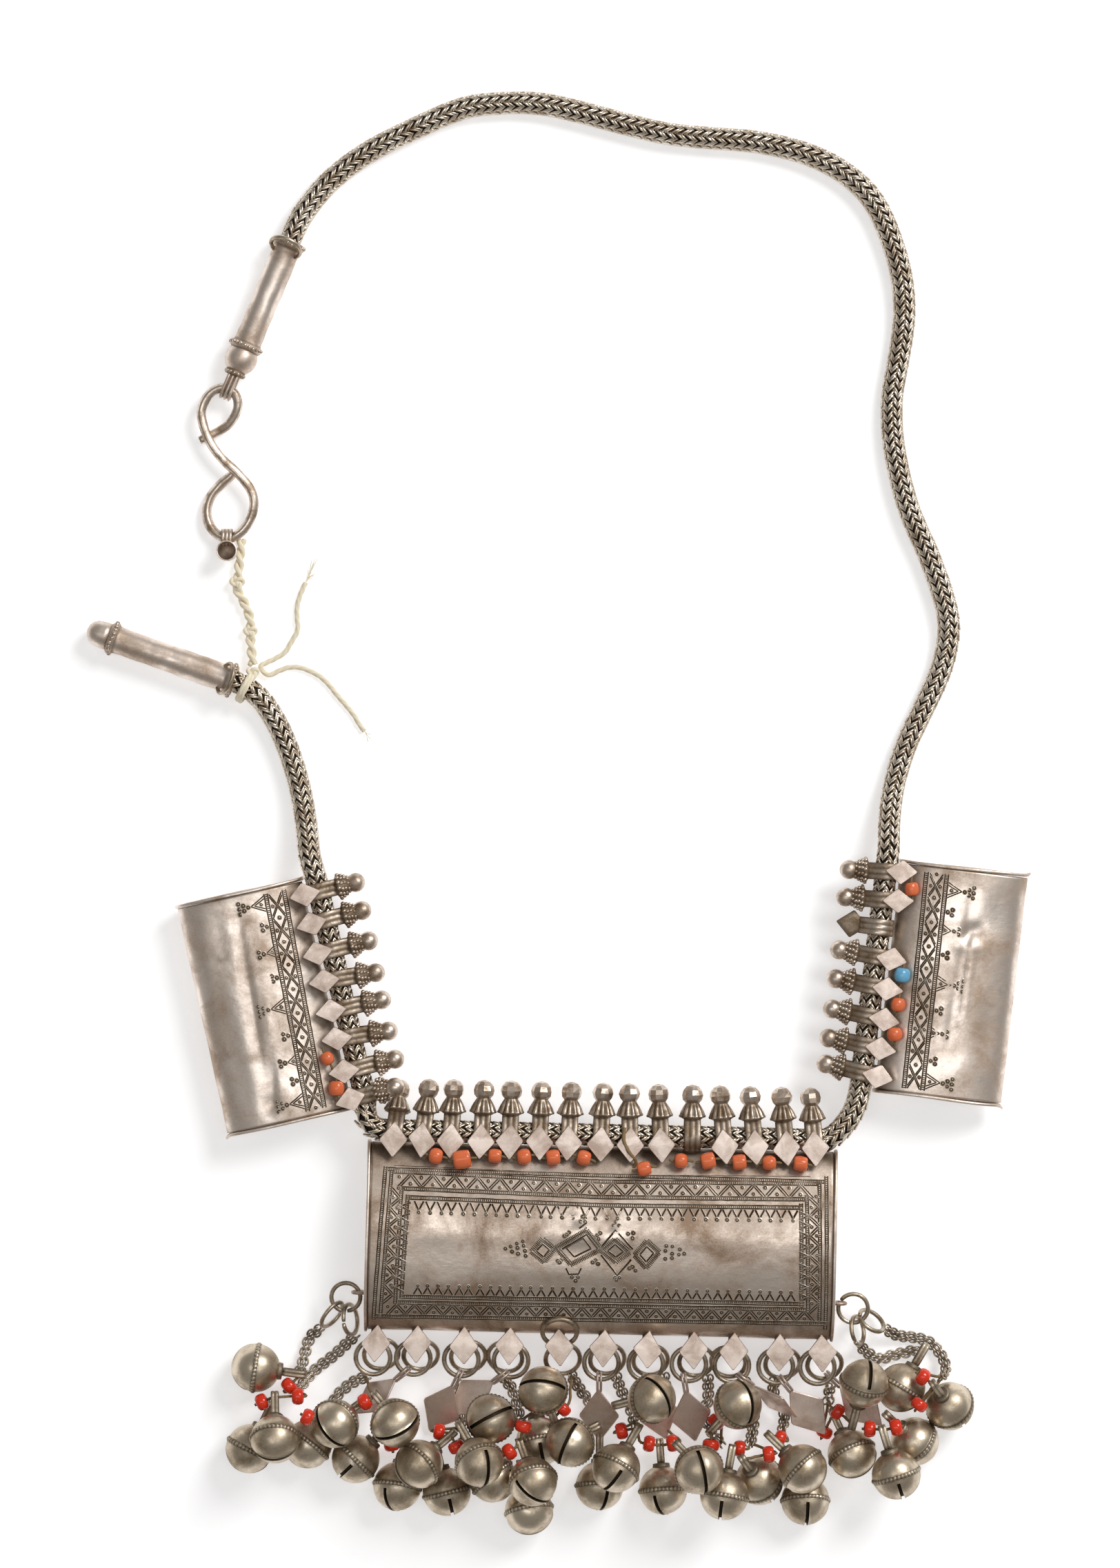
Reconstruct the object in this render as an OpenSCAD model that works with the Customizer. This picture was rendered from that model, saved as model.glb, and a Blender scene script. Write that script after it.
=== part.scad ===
// Silver necklace with three amulet cases and a fringe of round bells, lying flat.
// Seen from above as it lies: +X to the right, +Y towards the back of the neck, +Z up.
// Metal that is soldered together is one solid. What only hangs or is threaded is a solid of its own.

/* [Rope chain] */
// Diameter of the plaited chain
chain_d = 6.4; // [6:0.1:6.6]
// Room between the chain and the straps that go round it
chain_fit = 0.3; // [0.2:0.05:0.4]

/* [Amulet cases] */
// Wall of the sheet silver tubes
wall = 0.7; // [0.5:0.1:1]
// Thickness of the end plates
plate_t = 1; // [0.8:0.1:1.4]
// How far an end plate stands out past its tube
plate_rim = 0.7; // [0.4:0.1:1]
// Gap between a tube and its end plate
plate_gap = 0.1; // [0.05:0.05:0.2]
// Width of the centre case, across the chain
centre_w = 54.4; // [50:0.5:58]
// Thickness of the centre case
centre_t = 19; // [17:0.5:21]
// Length of the centre case
centre_l = 133.5; // [132:0.5:134]
// Width of the two side cases
side_w = 37; // [34:0.5:38]
// Thickness of the two side cases
side_t = 15; // [14:0.5:16]

/* [Carrying loops] */
// Width of the strap that goes round the chain
strap_w = 4.8; // [4.2:0.1:5.2]
// Thickness of the strap
strap_t = 0.7; // [0.6:0.1:0.9]
// Diameter of the ball at the end of a loop
ball_d = 6.2; // [5.6:0.1:6.4]
// Width of the flared skirt under the ball
skirt_d = 7.8; // [7:0.1:8]
// Thickness of the lozenge plates
lozenge_t = 0.8; // [0.6:0.1:1]

/* [Bells] */
// Diameter of a bell
bell_d = 14; // [13:0.1:14.2]
// Wall of a bell
bell_wall = 0.5; // [0.4:0.05:0.8]
// Width of the slit
slit_w = 0.9; // [0.6:0.1:1.2]
// Least room between two bells that rest on each other
bell_gap = 0.5; // [0.4:0.1:1]

/* [Rings and beads] */
// Outer diameter of the rings in the lower eyes
ring_d = 11.4; // [11:0.1:11.6]
// Wire of those rings
ring_wire = 1.4; // [1.2:0.1:1.5]
// Diameter of the red glass beads
glass_d = 5; // [4.4:0.1:5.2]
// Thickness of the thin drop chains
drop_d = 2; // [1.6:0.1:2.2]
// Thickness of one strand of the tie string
strand_d = 1.5; // [1.3:0.1:1.7]

/* [Hidden] */
$fn = 48;
silver = "#a39b8c";
pale_silver = "#b5aa9f";
bell_silver = "#94917f";
coral = "#d9603a";
glass_red = "#e5391d";
cotton = "#e3d9bd";
thread = "#6f5738";

// The layout below is measured from a point near the middle, and home brings the middle of its box there.
home = [1.55, 0.15, 0];

chain_r = chain_d / 2;
hole_r = chain_r + chain_fit;
bell_r = bell_d / 2;

// A frame for each case: its origin is on the chain beside the case, +X runs along the row of loops
// and +Y points away from the case, to the balls.
// Columns: x, y, turn, half width, half thickness, first and last end of the tube,
// distance from the chain's middle to the tube, reach of the balls, place, width and length of the lozenges
centre = [11.4, -93.4, -1.3, centre_w / 2, centre_t / 2, -66.7, centre_l - 66.7, 3.6, 12.1, -2.3, 8.2, 10.6];
left = [-63.9, -54, -77.5, side_w / 2, side_t / 2, -35.6, 31, 4.3, 10.9, -3.9, 7.2, 9.4];
right = [90, -45.2, 83.2, side_w / 2, side_t / 2, -34.6, 31, 4.3, 10.7, -4.2, 7.2, 9.4];
function half_w(c) = c[3];
function half_t(c) = c[4];
function tube_from(c) = c[5];
function tube_to(c) = c[6];
function edge(c) = c[7];
function ball_reach(c) = c[8];
function lozenge_at(c) = c[9];
// The end plates carry the tube clear of the surface, and the chain runs a little above the tube's edge.
function mid_z(c) = half_t(c) + plate_rim / 2;
function row_z(c) = mid_z(c) + 3;
function on_row(c, u, v = 0, z = 0) =
    [c[0] + u * cos(c[2]) - v * sin(c[2]), c[1] + u * sin(c[2]) + v * cos(c[2]), row_z(c) + z];

// Loops on the chain side. Columns: place along the row, lean, pitch, 1 where the lozenge is there
centre_loops = [
    [-60.1, -5, -20, 1], [-51.9, -6, 0, 1], [-43.8, -2, 0, 1], [-35, -2, 0, 1], [-26.9, -1, 0, 1],
    [-18.2, -1, 0, 1], [-9.8, -2, 0, 1], [-0.6, -2, 0, 1], [7.8, 2, 0, 1], [16.7, 4, 0, 1],
    [25.8, 1, 0, 0], [34.9, 6, 0, 1], [43.6, 6, 0, 1], [52.6, 6, 0, 1], [61, 6, 0, 1]];
left_loops = [
    [-31.7, 1, 0, 1], [-23.2, 2, 0, 1], [-14.4, 1, 0, 1], [-5.9, -4, 0, 1], [2.7, -1, 0, 1],
    [11.2, -5, 0, 1], [20.5, 0, 0, 1], [28.6, 3, 30, 1]];
right_loops = [
    [28.1, 4, 0, 1], [19.9, 3, 0, 1], [3.4, -3, 0, 1], [-5.2, -4, 0, 1],
    [-14, -4, 0, 1], [-22.5, -4, 0, 1], [-30.4, -6, 0, 1]];
turned_at = 11.9;

// Eyes along the lower edge of the centre case, by their place along the row
lower_eyes = [-64.2, -52.4, -38.8, -25.6, -11.2, 1.6, 14.3, 27.6, 39.2, 52.6, 64.8];
eye_r = 2.3;
eye_w = 3;
eye_v = -(edge(centre) + centre_w + eye_r + strap_t + 0.3);
eye_z = mid_z(centre);
ring_r = (ring_d - ring_wire) / 2;
// Rings in those eyes. Columns: eye, tilt, turn to the side, height in the eye (1 above, -1 below)
lower_rings = [
    [1, 8, -10, 1], [1, 26, 18, -1], [2, 10, -12, 1], [2, 28, 14, -1], [3, 9, -8, 1], [3, 26, 16, -1],
    [4, 10, 6, 1], [4, 27, -16, -1], [5, -145, 0, 1], [5, 24, 14, -1], [6, 9, -6, 1], [6, 27, 16, -1],
    [7, 10, -4, 1], [7, 27, 14, -1], [8, 9, -14, 1], [8, 27, 14, -1], [9, 10, -4, 1], [9, 27, -16, -1],
    [10, 9, -12, 1], [10, 27, 14, -1], [11, 9, -14, 1], [11, 27, 14, -1]];
wire_level = 0.9;
// A point on such a ring, turned by phi from its far end
function on_ring(p, phi) =
    let(out = ring_r * (1 + cos(phi)) * cos(p[1]), aside = ring_r * sin(phi))
    on_row(centre, lower_eyes[p[0] - 1] + aside * cos(p[2]) + out * sin(p[2]),
        eye_v + aside * sin(p[2]) - out * cos(p[2]),
        eye_z + wire_level * p[3] - ring_r * (1 + cos(phi)) * sin(p[1]) - row_z(centre));

// Rings at the two ends of the centre case.
// Columns: x, y, z, radius to the middle of the wire, direction, tilt
side_rings = [
    [-63.1, -140.8, 8, 4.2, 0, 8], [-67.2, -146.1, 6.4, 4.3, 52, 66], [-61.9, -147.5, 6.4, 4.4, 100, 66],
    [84, -144.1, 8, 4.3, 0, 8], [85.4, -150.7, 6.2, 4.1, 102, 62], [89.5, -147.9, 6.2, 4.1, 145, 62]];
side_wire = 1.3;
side_eye_v = -47.6;
side_eye_z = 8;

// Bells, in the order in which they come to rest. Columns: x, y, direction in which the collar points,
// its elevation, turn of the slit about the bell's own axis, least height of the middle
bells = [
    [-89.2, -161.4, -8, 0, 70, 0], [-91, -184.8, 64, -5, 75, 0], [-74, -183.4, 52, -13, 90, 0],
    [-60.2, -187.6, 45, -5, 0, 0], [-48.2, -195.8, 81, -16, 150, 0], [-33.8, -197.2, 104, -5, 5, 0],
    [-20.6, -192.6, 130, -10, 60, 0], [-10, -202.7, 101, -19, 90, 0], [-6.7, -182.7, 100, -20, 0, 0],
    [10.5, -195.6, 90, -15, 19, 0], [28.9, -196.9, 94, -12, 157, 0], [56.8, -194.2, 124, 46, 0, 0],
    [70.2, -200, 90, -21, 3, 0], [98, -167.2, 59, -6, 60, 0], [101.9, -182.8, 135, 28, 90, 0],
    [112.1, -172.5, 126, 46, 0, 0], [-21, -175.1, -110, -72, 44, 15], [-83, -180.4, 92, -41, 90, 0],
    [-65.8, -176.2, 35, -62, 87, 0], [-41.7, -187.8, 40, -30, 90, 0], [-24.2, -186.2, 120, -46, 35, 0],
    [2, -181.3, 25, -70, 137, 0], [-8.8, -192.4, 110, -46, 143, 0], [15.1, -188.7, 60, -24, 9, 0],
    [46.3, -197, 80, -10, 173, 0], [68.8, -189.2, 136, -18, 90, 0], [83.7, -186.4, 115, -27, 90, 0],
    [95.8, -190.9, 107, -2, 177, 0], [86.6, -164.8, -104, -20, 170, 0], [-48.4, -175.4, 130, -66, 104, 0],
    [-5.8, -166.4, -72, -58, 112, 19], [25.4, -168.9, 195, -53, 77, 18.2], [38.7, -188.2, 135, -70, 35, 0],
    [50.2, -171, 228, -44, 127, 16]];
band_r = 0.35;
collar_r = 2.3;
collar_h = 1.1;
bail_w = 2.2;
bail_half = 1.5;
bail_t = 0.55;
bail_l = 4.6;
// A bail is bent up where its collar points down, so that the bell can lie low.
bail_low = -5;
function bell_name(i) = str("bell_", i < 10 ? "0" : "", i);
function bend(b) = max(0, bail_low - b[3]);
function aim(azimuth, elevation) =
    [cos(azimuth) * cos(elevation), sin(azimuth) * cos(elevation), sin(elevation)];
function collar_top(b) = (bell_r + collar_h - 0.4) * aim(b[2], b[3]);
function bail_eye(b) = collar_top(b) + (bail_half + bail_l - 0.6) * aim(b[2], b[3] + bend(b));
// The lowest point of a bell, its collar and its bail below its middle
function depth(b) =
    let(neck = -collar_top(b)[2] + collar_r * cos(b[3]),
        tip = -bail_eye(b)[2] + bail_half + 0.7)
    max(bell_r + band_r, neck, tip);
function rests_on(b, other, z) =
    let(d = norm([b[0] - other[0], b[1] - other[1]]), reach = 2 * bell_r + bell_gap)
    d < reach ? z + sqrt(reach * reach - d * d) : 0;
function settle(i = 0, zs = []) =
    i == len(bells) ? zs
    : settle(i + 1, concat(zs, [max(concat([bells[i][5], depth(bells[i])],
        [for (k = [0 : 1 : i - 1]) rests_on(bells[i], bells[k], zs[k])]))]));
bell_z = settle();
function bell_at(i) = [bells[i - 1][0], bells[i - 1][1], bell_z[i - 1]];
function bail_at(i) = bell_at(i) + bail_eye(bells[i - 1]);

// Red glass beads, each on a short cord of its own. Columns: x, y, z, bell that the cord leads to
glass_at = [
    [-79.5, -166.6, 8, 1], [-76.8, -169.1, 11.7, 18], [-73.5, -173.7, 21.8, 18], [-87.2, -170.8, 11.2, 18],
    [-57.3, -170.4, 14.2, 19], [-49.9, -184.2, 5, 4], [-36, -179.6, 10, 20], [-30.8, -183.2, 15, 20],
    [-11.6, -177, 16.8, 23], [-15.6, -184.4, 16.6, 23], [-3.7, -173.9, 3.2, 31], [-0.1, -172.9, 10.2, 31],
    [16.8, -178.9, 13.3, 24], [24.8, -183.4, 7.7, 11], [31.6, -183.2, 8, 11], [42.6, -183, 13, 34],
    [44.4, -177.4, 5, 34], [50.9, -184.3, 11, 25], [59.2, -185.4, 14.8, 12], [62.7, -181.5, 10, 26],
    [76, -180.7, 3, 27], [79.5, -174.1, 7.8, 29], [88.4, -178.2, 14, 28], [95.8, -177.4, 16.6, 28],
    [103.6, -163, 15.4, 16], [102.6, -171, 15.2, 16]];
glass_hole = 0.6;
glass_l = 3.4;
cord_r = 0.4;

// Lozenge pendants, each hung on a ring by its bail.
// Columns: ring, place round the ring, direction, slope down, roll of the plate about its length
pendants = [
    [3, -18, 221, 15, 45], [5, 0, 243, 20, 8], [7, -34, 217, 14, 16], [11, 0, -90, 21, 6],
    [13, 10, -72, 21, 0], [15, 0, -80, 21, -6], [17, 45, -37, 6, 62], [19, 40, -52, 9, 6],
    [22, 12, -44, -3, 14]];
pendant_l = 17.6;
pendant_w = 12;
pendant_t = 0.5;

// Thin chains from the rings to the bells, through points chosen by hand
drop_routes = [
    [[-71, -150.8, 3], [-74, -154, 1.6], [-76, -160, 3], [-76.4, -162.4, 5]],
    [[-60.6, -152.6, 3.6], [-66, -158, 1.4], [-73, -163, 1.8], [-77, -168, 6]],
    [[-57.4, -164.6, 3.4], [-62, -167, 1.4], [-66, -170, 1.4], [-68, -174, 2]],
    [[-29.6, -166.6, 3.4], [-30.6, -171, 1.4], [-30.4, -176, 1.6], [-29.6, -179, 5]],
    [[-17.4, -164.8, 3.6], [-15, -168, 1.4], [-13.4, -174, 1.4], [-13, -178, 2]],
    [[2.4, -164, 4.8], [5.4, -169, 1.4], [8, -173.4, 1.2], [8.6, -176.4, 1.2]],
    [[15.4, -164.4, 4.6], [17.6, -170, 1.4], [19.6, -175, 2], [20.6, -177.6, 5]],
    [[29.3, -164.4, 4.1], [30.4, -170.6, 1.2], [29.8, -174, 1.2], [29.4, -177.4, 1.1], [29.3, -179.4, 1.1]],
    [[42, -164.8, 4.5], [42.4, -171, 1.4], [41, -176, 1.2], [43, -181, 1.2], [46, -184, 1.6]],
    [[52.5, -164.7, 4.9], [55, -171, 1.4], [55.2, -177, 3], [54.2, -183, 9.6]],
    [[61.4, -165.5, 4], [61.6, -170, 1.4], [64, -175, 1.6], [63.8, -179, 6.6]],
    [[78, -167.4, 3.4], [77.4, -169.6, 1.4], [77.3, -171.8, 1.3]],
    [[93.8, -150.6, 5], [97.4, -152.4, 2.4], [101.6, -153, 1.6], [106.4, -154.6, 1.6],
        [109.8, -158.4, 2.4], [111, -162, 6], [109.6, -163.6, 12]],
    [[86.4, -155.5, 3.6], [89, -157.8, 1.4], [92.4, -159.6, 1.3], [96.4, -158.6, 1.3], [102.6, -157, 1.4]]];

// The route of the plaited chain, from the upper terminal round the neck to the lower terminal
chain_route = concat([
    [-80.5, 163.5, 5], [-78.6, 168, 5], [-75.6, 174, 4.4], [-68, 183.4, 3.4], [-57, 191.8, 3.2],
    [-43.4, 198.8, 3.2], [-29.6, 204.6, 3.2], [-18, 206.2, 3.2], [-6.5, 206, 3.2], [5, 203.6, 3.2],
    [16.4, 200.6, 3.2], [30, 197.4, 3.2], [43.6, 196, 3.2], [57.2, 194.8, 3.2], [71, 191.4, 3.2],
    [82, 185.8, 3.2], [90, 178, 3.2], [95.2, 167.2, 3.2], [98.4, 155.8, 3.2], [99.2, 144.4, 3.2],
    [97.8, 133, 3.2], [95.8, 121.6, 3.2], [95.8, 110.2, 3.2], [97.8, 98, 3.2], [101.2, 86.4, 3.2],
    [106.2, 75, 3.2], [110.6, 62.6, 3.2], [112.2, 53.2, 3.2], [110.2, 42.2, 3.2], [105.2, 30.8, 3.2],
    [99.8, 19.4, 3.4], [96.2, 8, 4.6], [94.6, -2, 7.6], [94.2, -9, 10.2]],
    [for (u = [31.6, 16, 0, -16, -33]) on_row(right, u)],
    [[84.8, -84.4, 11.6], [82, -89.6, 12.2], [78.2, -93.6, 12.8]],
    [for (u = [63.6, 48, 32, 16, 0, -16, -32, -48, -63.6]) on_row(centre, u)],
    [[-55.8, -90.6, 12.4], [-57.4, -87.6, 11.6]],
    [for (u = [31.2, 16, 0, -16, -34.4]) on_row(left, u)],
    [[-73.4, -13.6, 9.6], [-74.8, -3, 5.6], [-77.2, 9, 3.4], [-81.4, 21.4, 3.2], [-86.4, 30.6, 3.6],
    [-90.6, 35, 4.9], [-94.2, 37.2, 5], [-97.4, 38.4, 5]]);

// Terminals. Columns: x, y of the chain end, x, y of the far end
upper_end = [-79.5, 165.8, -92.7, 134.1];
lower_end = [-95.6, 37.8, -132, 50.7];
terminal_r = 4;
terminal_z = 5;
terminal_collar = 0.9;
pin_ring_r = 4.5;
pin_ring_wire = 1.2;
pin_at = 4.6;

// The S hook, one thick wire that crosses under itself twice
hook_wire = 2.6;
hook_route = [
    [-106, 108.2, 1.4], [-101.7, 110.2, 1.5], [-97.4, 112.8, 2.8], [-94.8, 117.1, 4.2], [-95.2, 120.9, 4.8],
    [-97.4, 122.6, 5], [-100, 123, 5], [-103.2, 121, 5], [-105.2, 116.7, 4.8], [-104.7, 112.3, 4.7], [-102.6, 107.1, 4.5],
    [-99.1, 102.4, 4.4], [-94.8, 98.4, 4.4], [-91.3, 94.1, 4.2], [-90, 89.8, 4], [-91.3, 84.6, 3.8],
    [-94.4, 80.8, 3.6], [-98, 79.6, 3.4], [-102, 81.8, 3], [-103.9, 86.4, 2.4], [-103, 91.2, 1.8],
    [-100.2, 95, 1.4], [-97.4, 97.4, 1.4]];
cup_at = [-97.7, 75.7];
cup_r = 2.9;
cup_z = 3.4;

// The cotton string: doubled from the hook to the terminal, then its two loose tails
tie_d = 2 * strand_d;
tie_route = [
    [-93.8, 79.2, 1.6], [-94, 76.6, 1.6], [-94.3, 73.8, 1.6], [-94.7, 69, 1.8], [-94.9, 64.6, 2],
    [-92.8, 60.4, 1.7], [-91.2, 55.6, 1.6], [-91.2, 50.6, 1.6], [-90.8, 46.2, 2.2], [-90.4, 42.8, 3.2]];
tail_route = [
    [-75.1, 66.8, 0.8], [-76.6, 63.4, 0.8], [-77.6, 59.8, 0.8], [-77.6, 56.2, 0.8], [-77.5, 52.8, 0.8],
    [-79.2, 49.6, 0.8], [-81.2, 46.4, 0.9], [-84.4, 44.4, 1.2], [-88.2, 42.3, 2], [-86, 39.8, 1.4],
    [-83, 41, 1], [-80.2, 42, 0.8], [-77, 42, 0.8], [-74, 41, 0.8], [-71, 39.4, 0.8], [-68.4, 37, 0.8],
    [-66, 34, 0.8], [-63.4, 31, 0.8], [-61, 28, 0.8], [-59.6, 25.6, 0.8], [-58, 23.4, 0.8]];

// Coral beads on their thread. Columns: place along the row, distance from the row, diameter
centre_coral = [
    [-48, -6.8, 4.4], [-40.4, -7.6, 5.6], [-31, -6.4, 4.2], [-22.6, -6.4, 4.4], [-14.2, -6.4, 4.4],
    [-5.4, -6.4, 4.4], [12, -9, 4.4], [22.6, -6.6, 4.2], [30.4, -6.4, 4.6], [39.4, -6.6, 4.4],
    [48, -6.6, 4.4], [57, -6.6, 4.4]];
left_coral = [[15.8, -7.8, 4.2], [24.8, -7.1, 4.6]];
right_coral = [[24, -7.7, 4.2], [-1, -7.9, 4.6], [-9.6, -7.7, 4.4], [-18.2, -7.7, 4.4]];
coral_hole = 0.5;
coral_thread = 0.3;

// Outline of two circles joined by their tangents: a stirrup, wide at the origin, narrow d away along x
function stirrup(r0, r1, d, n = 6) =
    let(a = acos((r0 - r1) / d))
    concat([for (i = [0 : n]) let(t = -a + 2 * a * i / n) [d + r1 * cos(t), r1 * sin(t)]],
        [for (i = [0 : 2 * n]) let(t = a + (360 - 2 * a) * i / (2 * n)) [r0 * cos(t), r0 * sin(t)]]);

// Section of a tube, a flattened round
function oval(a, b, n = 48) = [for (i = [0 : n - 1]) [a * cos(360 * i / n), b * sin(360 * i / n)]];

function unit(v) = v / norm(v);
// Points on a smooth curve through the given ones, steps to each stretch
function smooth(p, steps) =
    let(n = len(p) - 1)
    concat([for (i = [0 : n - 1]) for (k = [0 : steps - 1])
        let(t = k / steps, a = p[max(i - 1, 0)], b = p[i], c = p[i + 1], d = p[min(i + 2, n)])
        0.5 * (2 * b + (c - a) * t + (2 * a - 5 * b + 4 * c - d) * t * t
            + (3 * b - a - 3 * c + d) * t * t * t)], [p[n]]);

// A round wire or cord along a path that nowhere stands upright
module swept(path, r, sides) {
    n = len(path);
    function heading(i) = unit(path[min(i + 1, n - 1)] - path[max(i - 1, 0)]);
    function around(i) =
        let(t = heading(i), side = unit(cross(t, [0, 0, 1])), up = cross(side, t))
        [for (k = [0 : sides - 1])
            path[i] + r * (cos(360 * k / sides) * side + sin(360 * k / sides) * up)];
    points = [for (i = [0 : n - 1]) each around(i)];
    skin = [for (i = [0 : n - 2]) for (k = [0 : sides - 1])
        let(k1 = (k + 1) % sides, a = i * sides)
        each [[a + k, a + k1, a + sides + k], [a + k1, a + sides + k1, a + sides + k]]];
    first = [for (k = [sides - 1 : -1 : 0]) k];
    last = [for (k = [0 : sides - 1]) (n - 1) * sides + k];
    polyhedron(points, concat(skin, [first, last]));
}

module ring(r, wire) {
    rotate_extrude() translate([r, 0]) circle(wire / 2, $fn = 24);
}

// Extrudes an outline that lies in the plane of y and z, centred on x
module across(w) {
    rotate([90, 0, 90]) translate([0, 0, -w / 2]) linear_extrude(w) children();
}

module lozenge(w, l, t) {
    linear_extrude(t) polygon([[-w / 2, 0], [0, -l / 2], [w / 2, 0], [0, l / 2]]);
}

module at_case(c) {
    translate(home + [c[0], c[1], 0]) rotate([0, 0, c[2]]) children();
}

// The strap round the chain with its flared skirt and ball
module finial(reach) {
    across(strap_w) difference() {
        polygon(stirrup(hole_r + strap_t, 2.1, 4.5));
        polygon(stirrup(hole_r, 1.3, 4.3));
    }
    skirt_from = 5.7;
    skirt_l = 4.2;
    translate([0, skirt_from, 0]) rotate([-90, 0, 0]) {
        cylinder(h = 0.9, r = skirt_d / 2);
        translate([0, 0, 0.9]) cylinder(h = skirt_l - 0.9, r1 = skirt_d / 2 - 0.3, r2 = 1.9);
        cylinder(h = reach - skirt_from, r = 1.7);
    }
    translate([0, reach, 0]) sphere(d = ball_d);
}

module carrying_loop(c, lean, pitch, whole) {
    seat = edge(c) + 1.4;
    difference() {
        union() {
            rotate([0, 0, lean]) {
                rotate([pitch, 0, 0]) finial(ball_reach(c));
                if (whole == 1)
                    translate([0, lozenge_at(c), hole_r + strap_t - 0.1]) lozenge(c[10], c[11], lozenge_t);
            }
            translate([-strap_w / 2, -seat, -2.8]) cube([strap_w, seat - hole_r + 0.1, 2.7]);
        }
        rotate([0, 90, 0]) cylinder(r = hole_r, h = 12, center = true);
    }
}

module lower_eye() {
    across(eye_w) difference() {
        circle(eye_r + strap_t, $fn = 24);
        circle(eye_r, $fn = 24);
    }
    translate([-eye_w / 2, eye_r + 0.1, -1.2]) cube([eye_w, 2.2, 2.4]);
    translate([0, -0.4, eye_r + strap_t - 0.1]) lozenge(8.6, 11.2, lozenge_t);
}

// A sheet tube with its loops. The hollow is cut last, so that nothing soldered on reaches into it.
module case_body(c, loops) {
    l = tube_to(c) - tube_from(c);
    middle = [(tube_from(c) + tube_to(c)) / 2, -(edge(c) + half_w(c)), mid_z(c)];
    difference() {
        union() {
            translate(middle) across(l) polygon(oval(half_w(c), half_t(c)));
            for (p = loops)
                translate([p[0], 0, row_z(c)]) carrying_loop(c, p[1], p[2], p[3]);
            children();
        }
        translate(middle) across(l + 2) polygon(oval(half_w(c) - wall, half_t(c) - wall));
    }
}

module end_plate(c, u, lean = 0) {
    at_case(c) translate([u, -(edge(c) + half_w(c)), mid_z(c)]) rotate([0, 0, lean])
        across(plate_t) polygon(oval(half_w(c) + plate_rim, half_t(c) + plate_rim / 2));
}

module rope_chain() {
    color(silver) translate(home) swept(chain_route, chain_r, 12);
}

module centre_case() {
    color(silver) at_case(centre) case_body(centre, centre_loops)
        for (u = lower_eyes) translate([u, eye_v, eye_z]) lower_eye();
}

module left_case() { color(silver) at_case(left) case_body(left, left_loops); }

module right_case() { color(silver) at_case(right) case_body(right, right_loops); }

plate_off = plate_gap + plate_t / 2;

module side_eye(u) {
    at_case(centre) translate([u, side_eye_v, side_eye_z]) rotate([90, 0, 0]) ring(1.9, 1.1);
}

module centre_left_plate() {
    color(silver) union() {
        end_plate(centre, tube_from(centre) - plate_off);
        side_eye(tube_from(centre) - plate_off - 2.2);
    }
}

module centre_right_plate() {
    color(silver) union() {
        end_plate(centre, tube_to(centre) + plate_off);
        side_eye(tube_to(centre) + plate_off + 2.2);
    }
}

module left_top_plate() { color(silver) end_plate(left, tube_from(left) - plate_off); }

module left_bottom_plate() { color(silver) end_plate(left, tube_to(left) + plate_off); }

module right_top_plate() { color(silver) end_plate(right, tube_to(right) + plate_off); }

module right_bottom_plate() { color(silver) end_plate(right, tube_from(right) - plate_off); }

// The third loop of the right case has lost its ball and turned over on the chain.
module turned_loop() {
    color(silver) at_case(right) translate([turned_at, 0, row_z(right)]) {
        across(strap_w) difference() {
            polygon(stirrup(hole_r + strap_t, 1.1, 5));
            polygon(stirrup(hole_r, 0.4, 4.6));
        }
        translate([0, 8, -lozenge_t / 2]) lozenge(8.2, 9.4, lozenge_t);
    }
}

// A tubular chain end along x, with its mouth at the origin
module terminal(length, dome) {
    collar_w = 2.2;
    difference() {
        union() {
            rotate([0, 90, 0]) cylinder(r = terminal_r, h = length);
            rotate([0, 90, 0]) cylinder(r = terminal_r + terminal_collar, h = collar_w);
            translate([length - collar_w, 0, 0]) rotate([0, 90, 0])
                cylinder(r = terminal_r + terminal_collar, h = collar_w);
            translate([length, 0, 0]) children();
        }
        translate([-1, 0, 0]) rotate([0, 90, 0]) cylinder(r = hole_r - 0.05, h = 11);
        pin_ring_place() ring(pin_ring_r, pin_ring_wire + 0.5);
    }
}

// The ring goes through two holes in the tube's sides and stands over it, leaning from the mouth.
module pin_ring_place() {
    translate([pin_at, 0, 0.6]) rotate([0, -28, 0]) rotate([0, 90, 0]) translate([-pin_ring_r, 0, 0])
        children();
}

function span(e) = norm([e[2] - e[0], e[3] - e[1]]);
function bearing(e) = atan2(e[3] - e[1], e[2] - e[0]);
module at_terminal(e) {
    translate(home + [e[0], e[1], terminal_z]) rotate([0, 0, bearing(e)]) children();
}

module upper_terminal() {
    bail_out = 9.4;
    color(silver) at_terminal(upper_end) terminal(span(upper_end)) {
        translate([2.6, 0, 0]) sphere(d = 9.6);
        translate([6.6, 0, 0]) rotate([0, 90, 0]) cylinder(r = 2.9, h = 1.4);
        translate([bail_out, 0, 0]) rotate([90, 0, 0]) translate([0, 0, -1.8]) linear_extrude(3.6)
            difference() {
                polygon(stirrup(2.7, 2.7, 3.4));
                polygon(stirrup(1.9, 1.9, 3.4));
            }
    }
}

module lower_terminal() {
    color(silver) at_terminal(lower_end) terminal(span(lower_end)) {
        cylinder_l = 3;
        rotate([0, 90, 0]) cylinder(r = 3.8, h = cylinder_l);
        translate([cylinder_l, 0, 0]) sphere(r = 3.8);
    }
}

module terminal_rings() {
    color(pale_silver) for (e = [upper_end, lower_end])
        at_terminal(e) pin_ring_place() ring(pin_ring_r, pin_ring_wire);
}

module clasp_hook() {
    color(silver) translate(home) swept(smooth(hook_route, 2), hook_wire / 2, 10);
}

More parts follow.
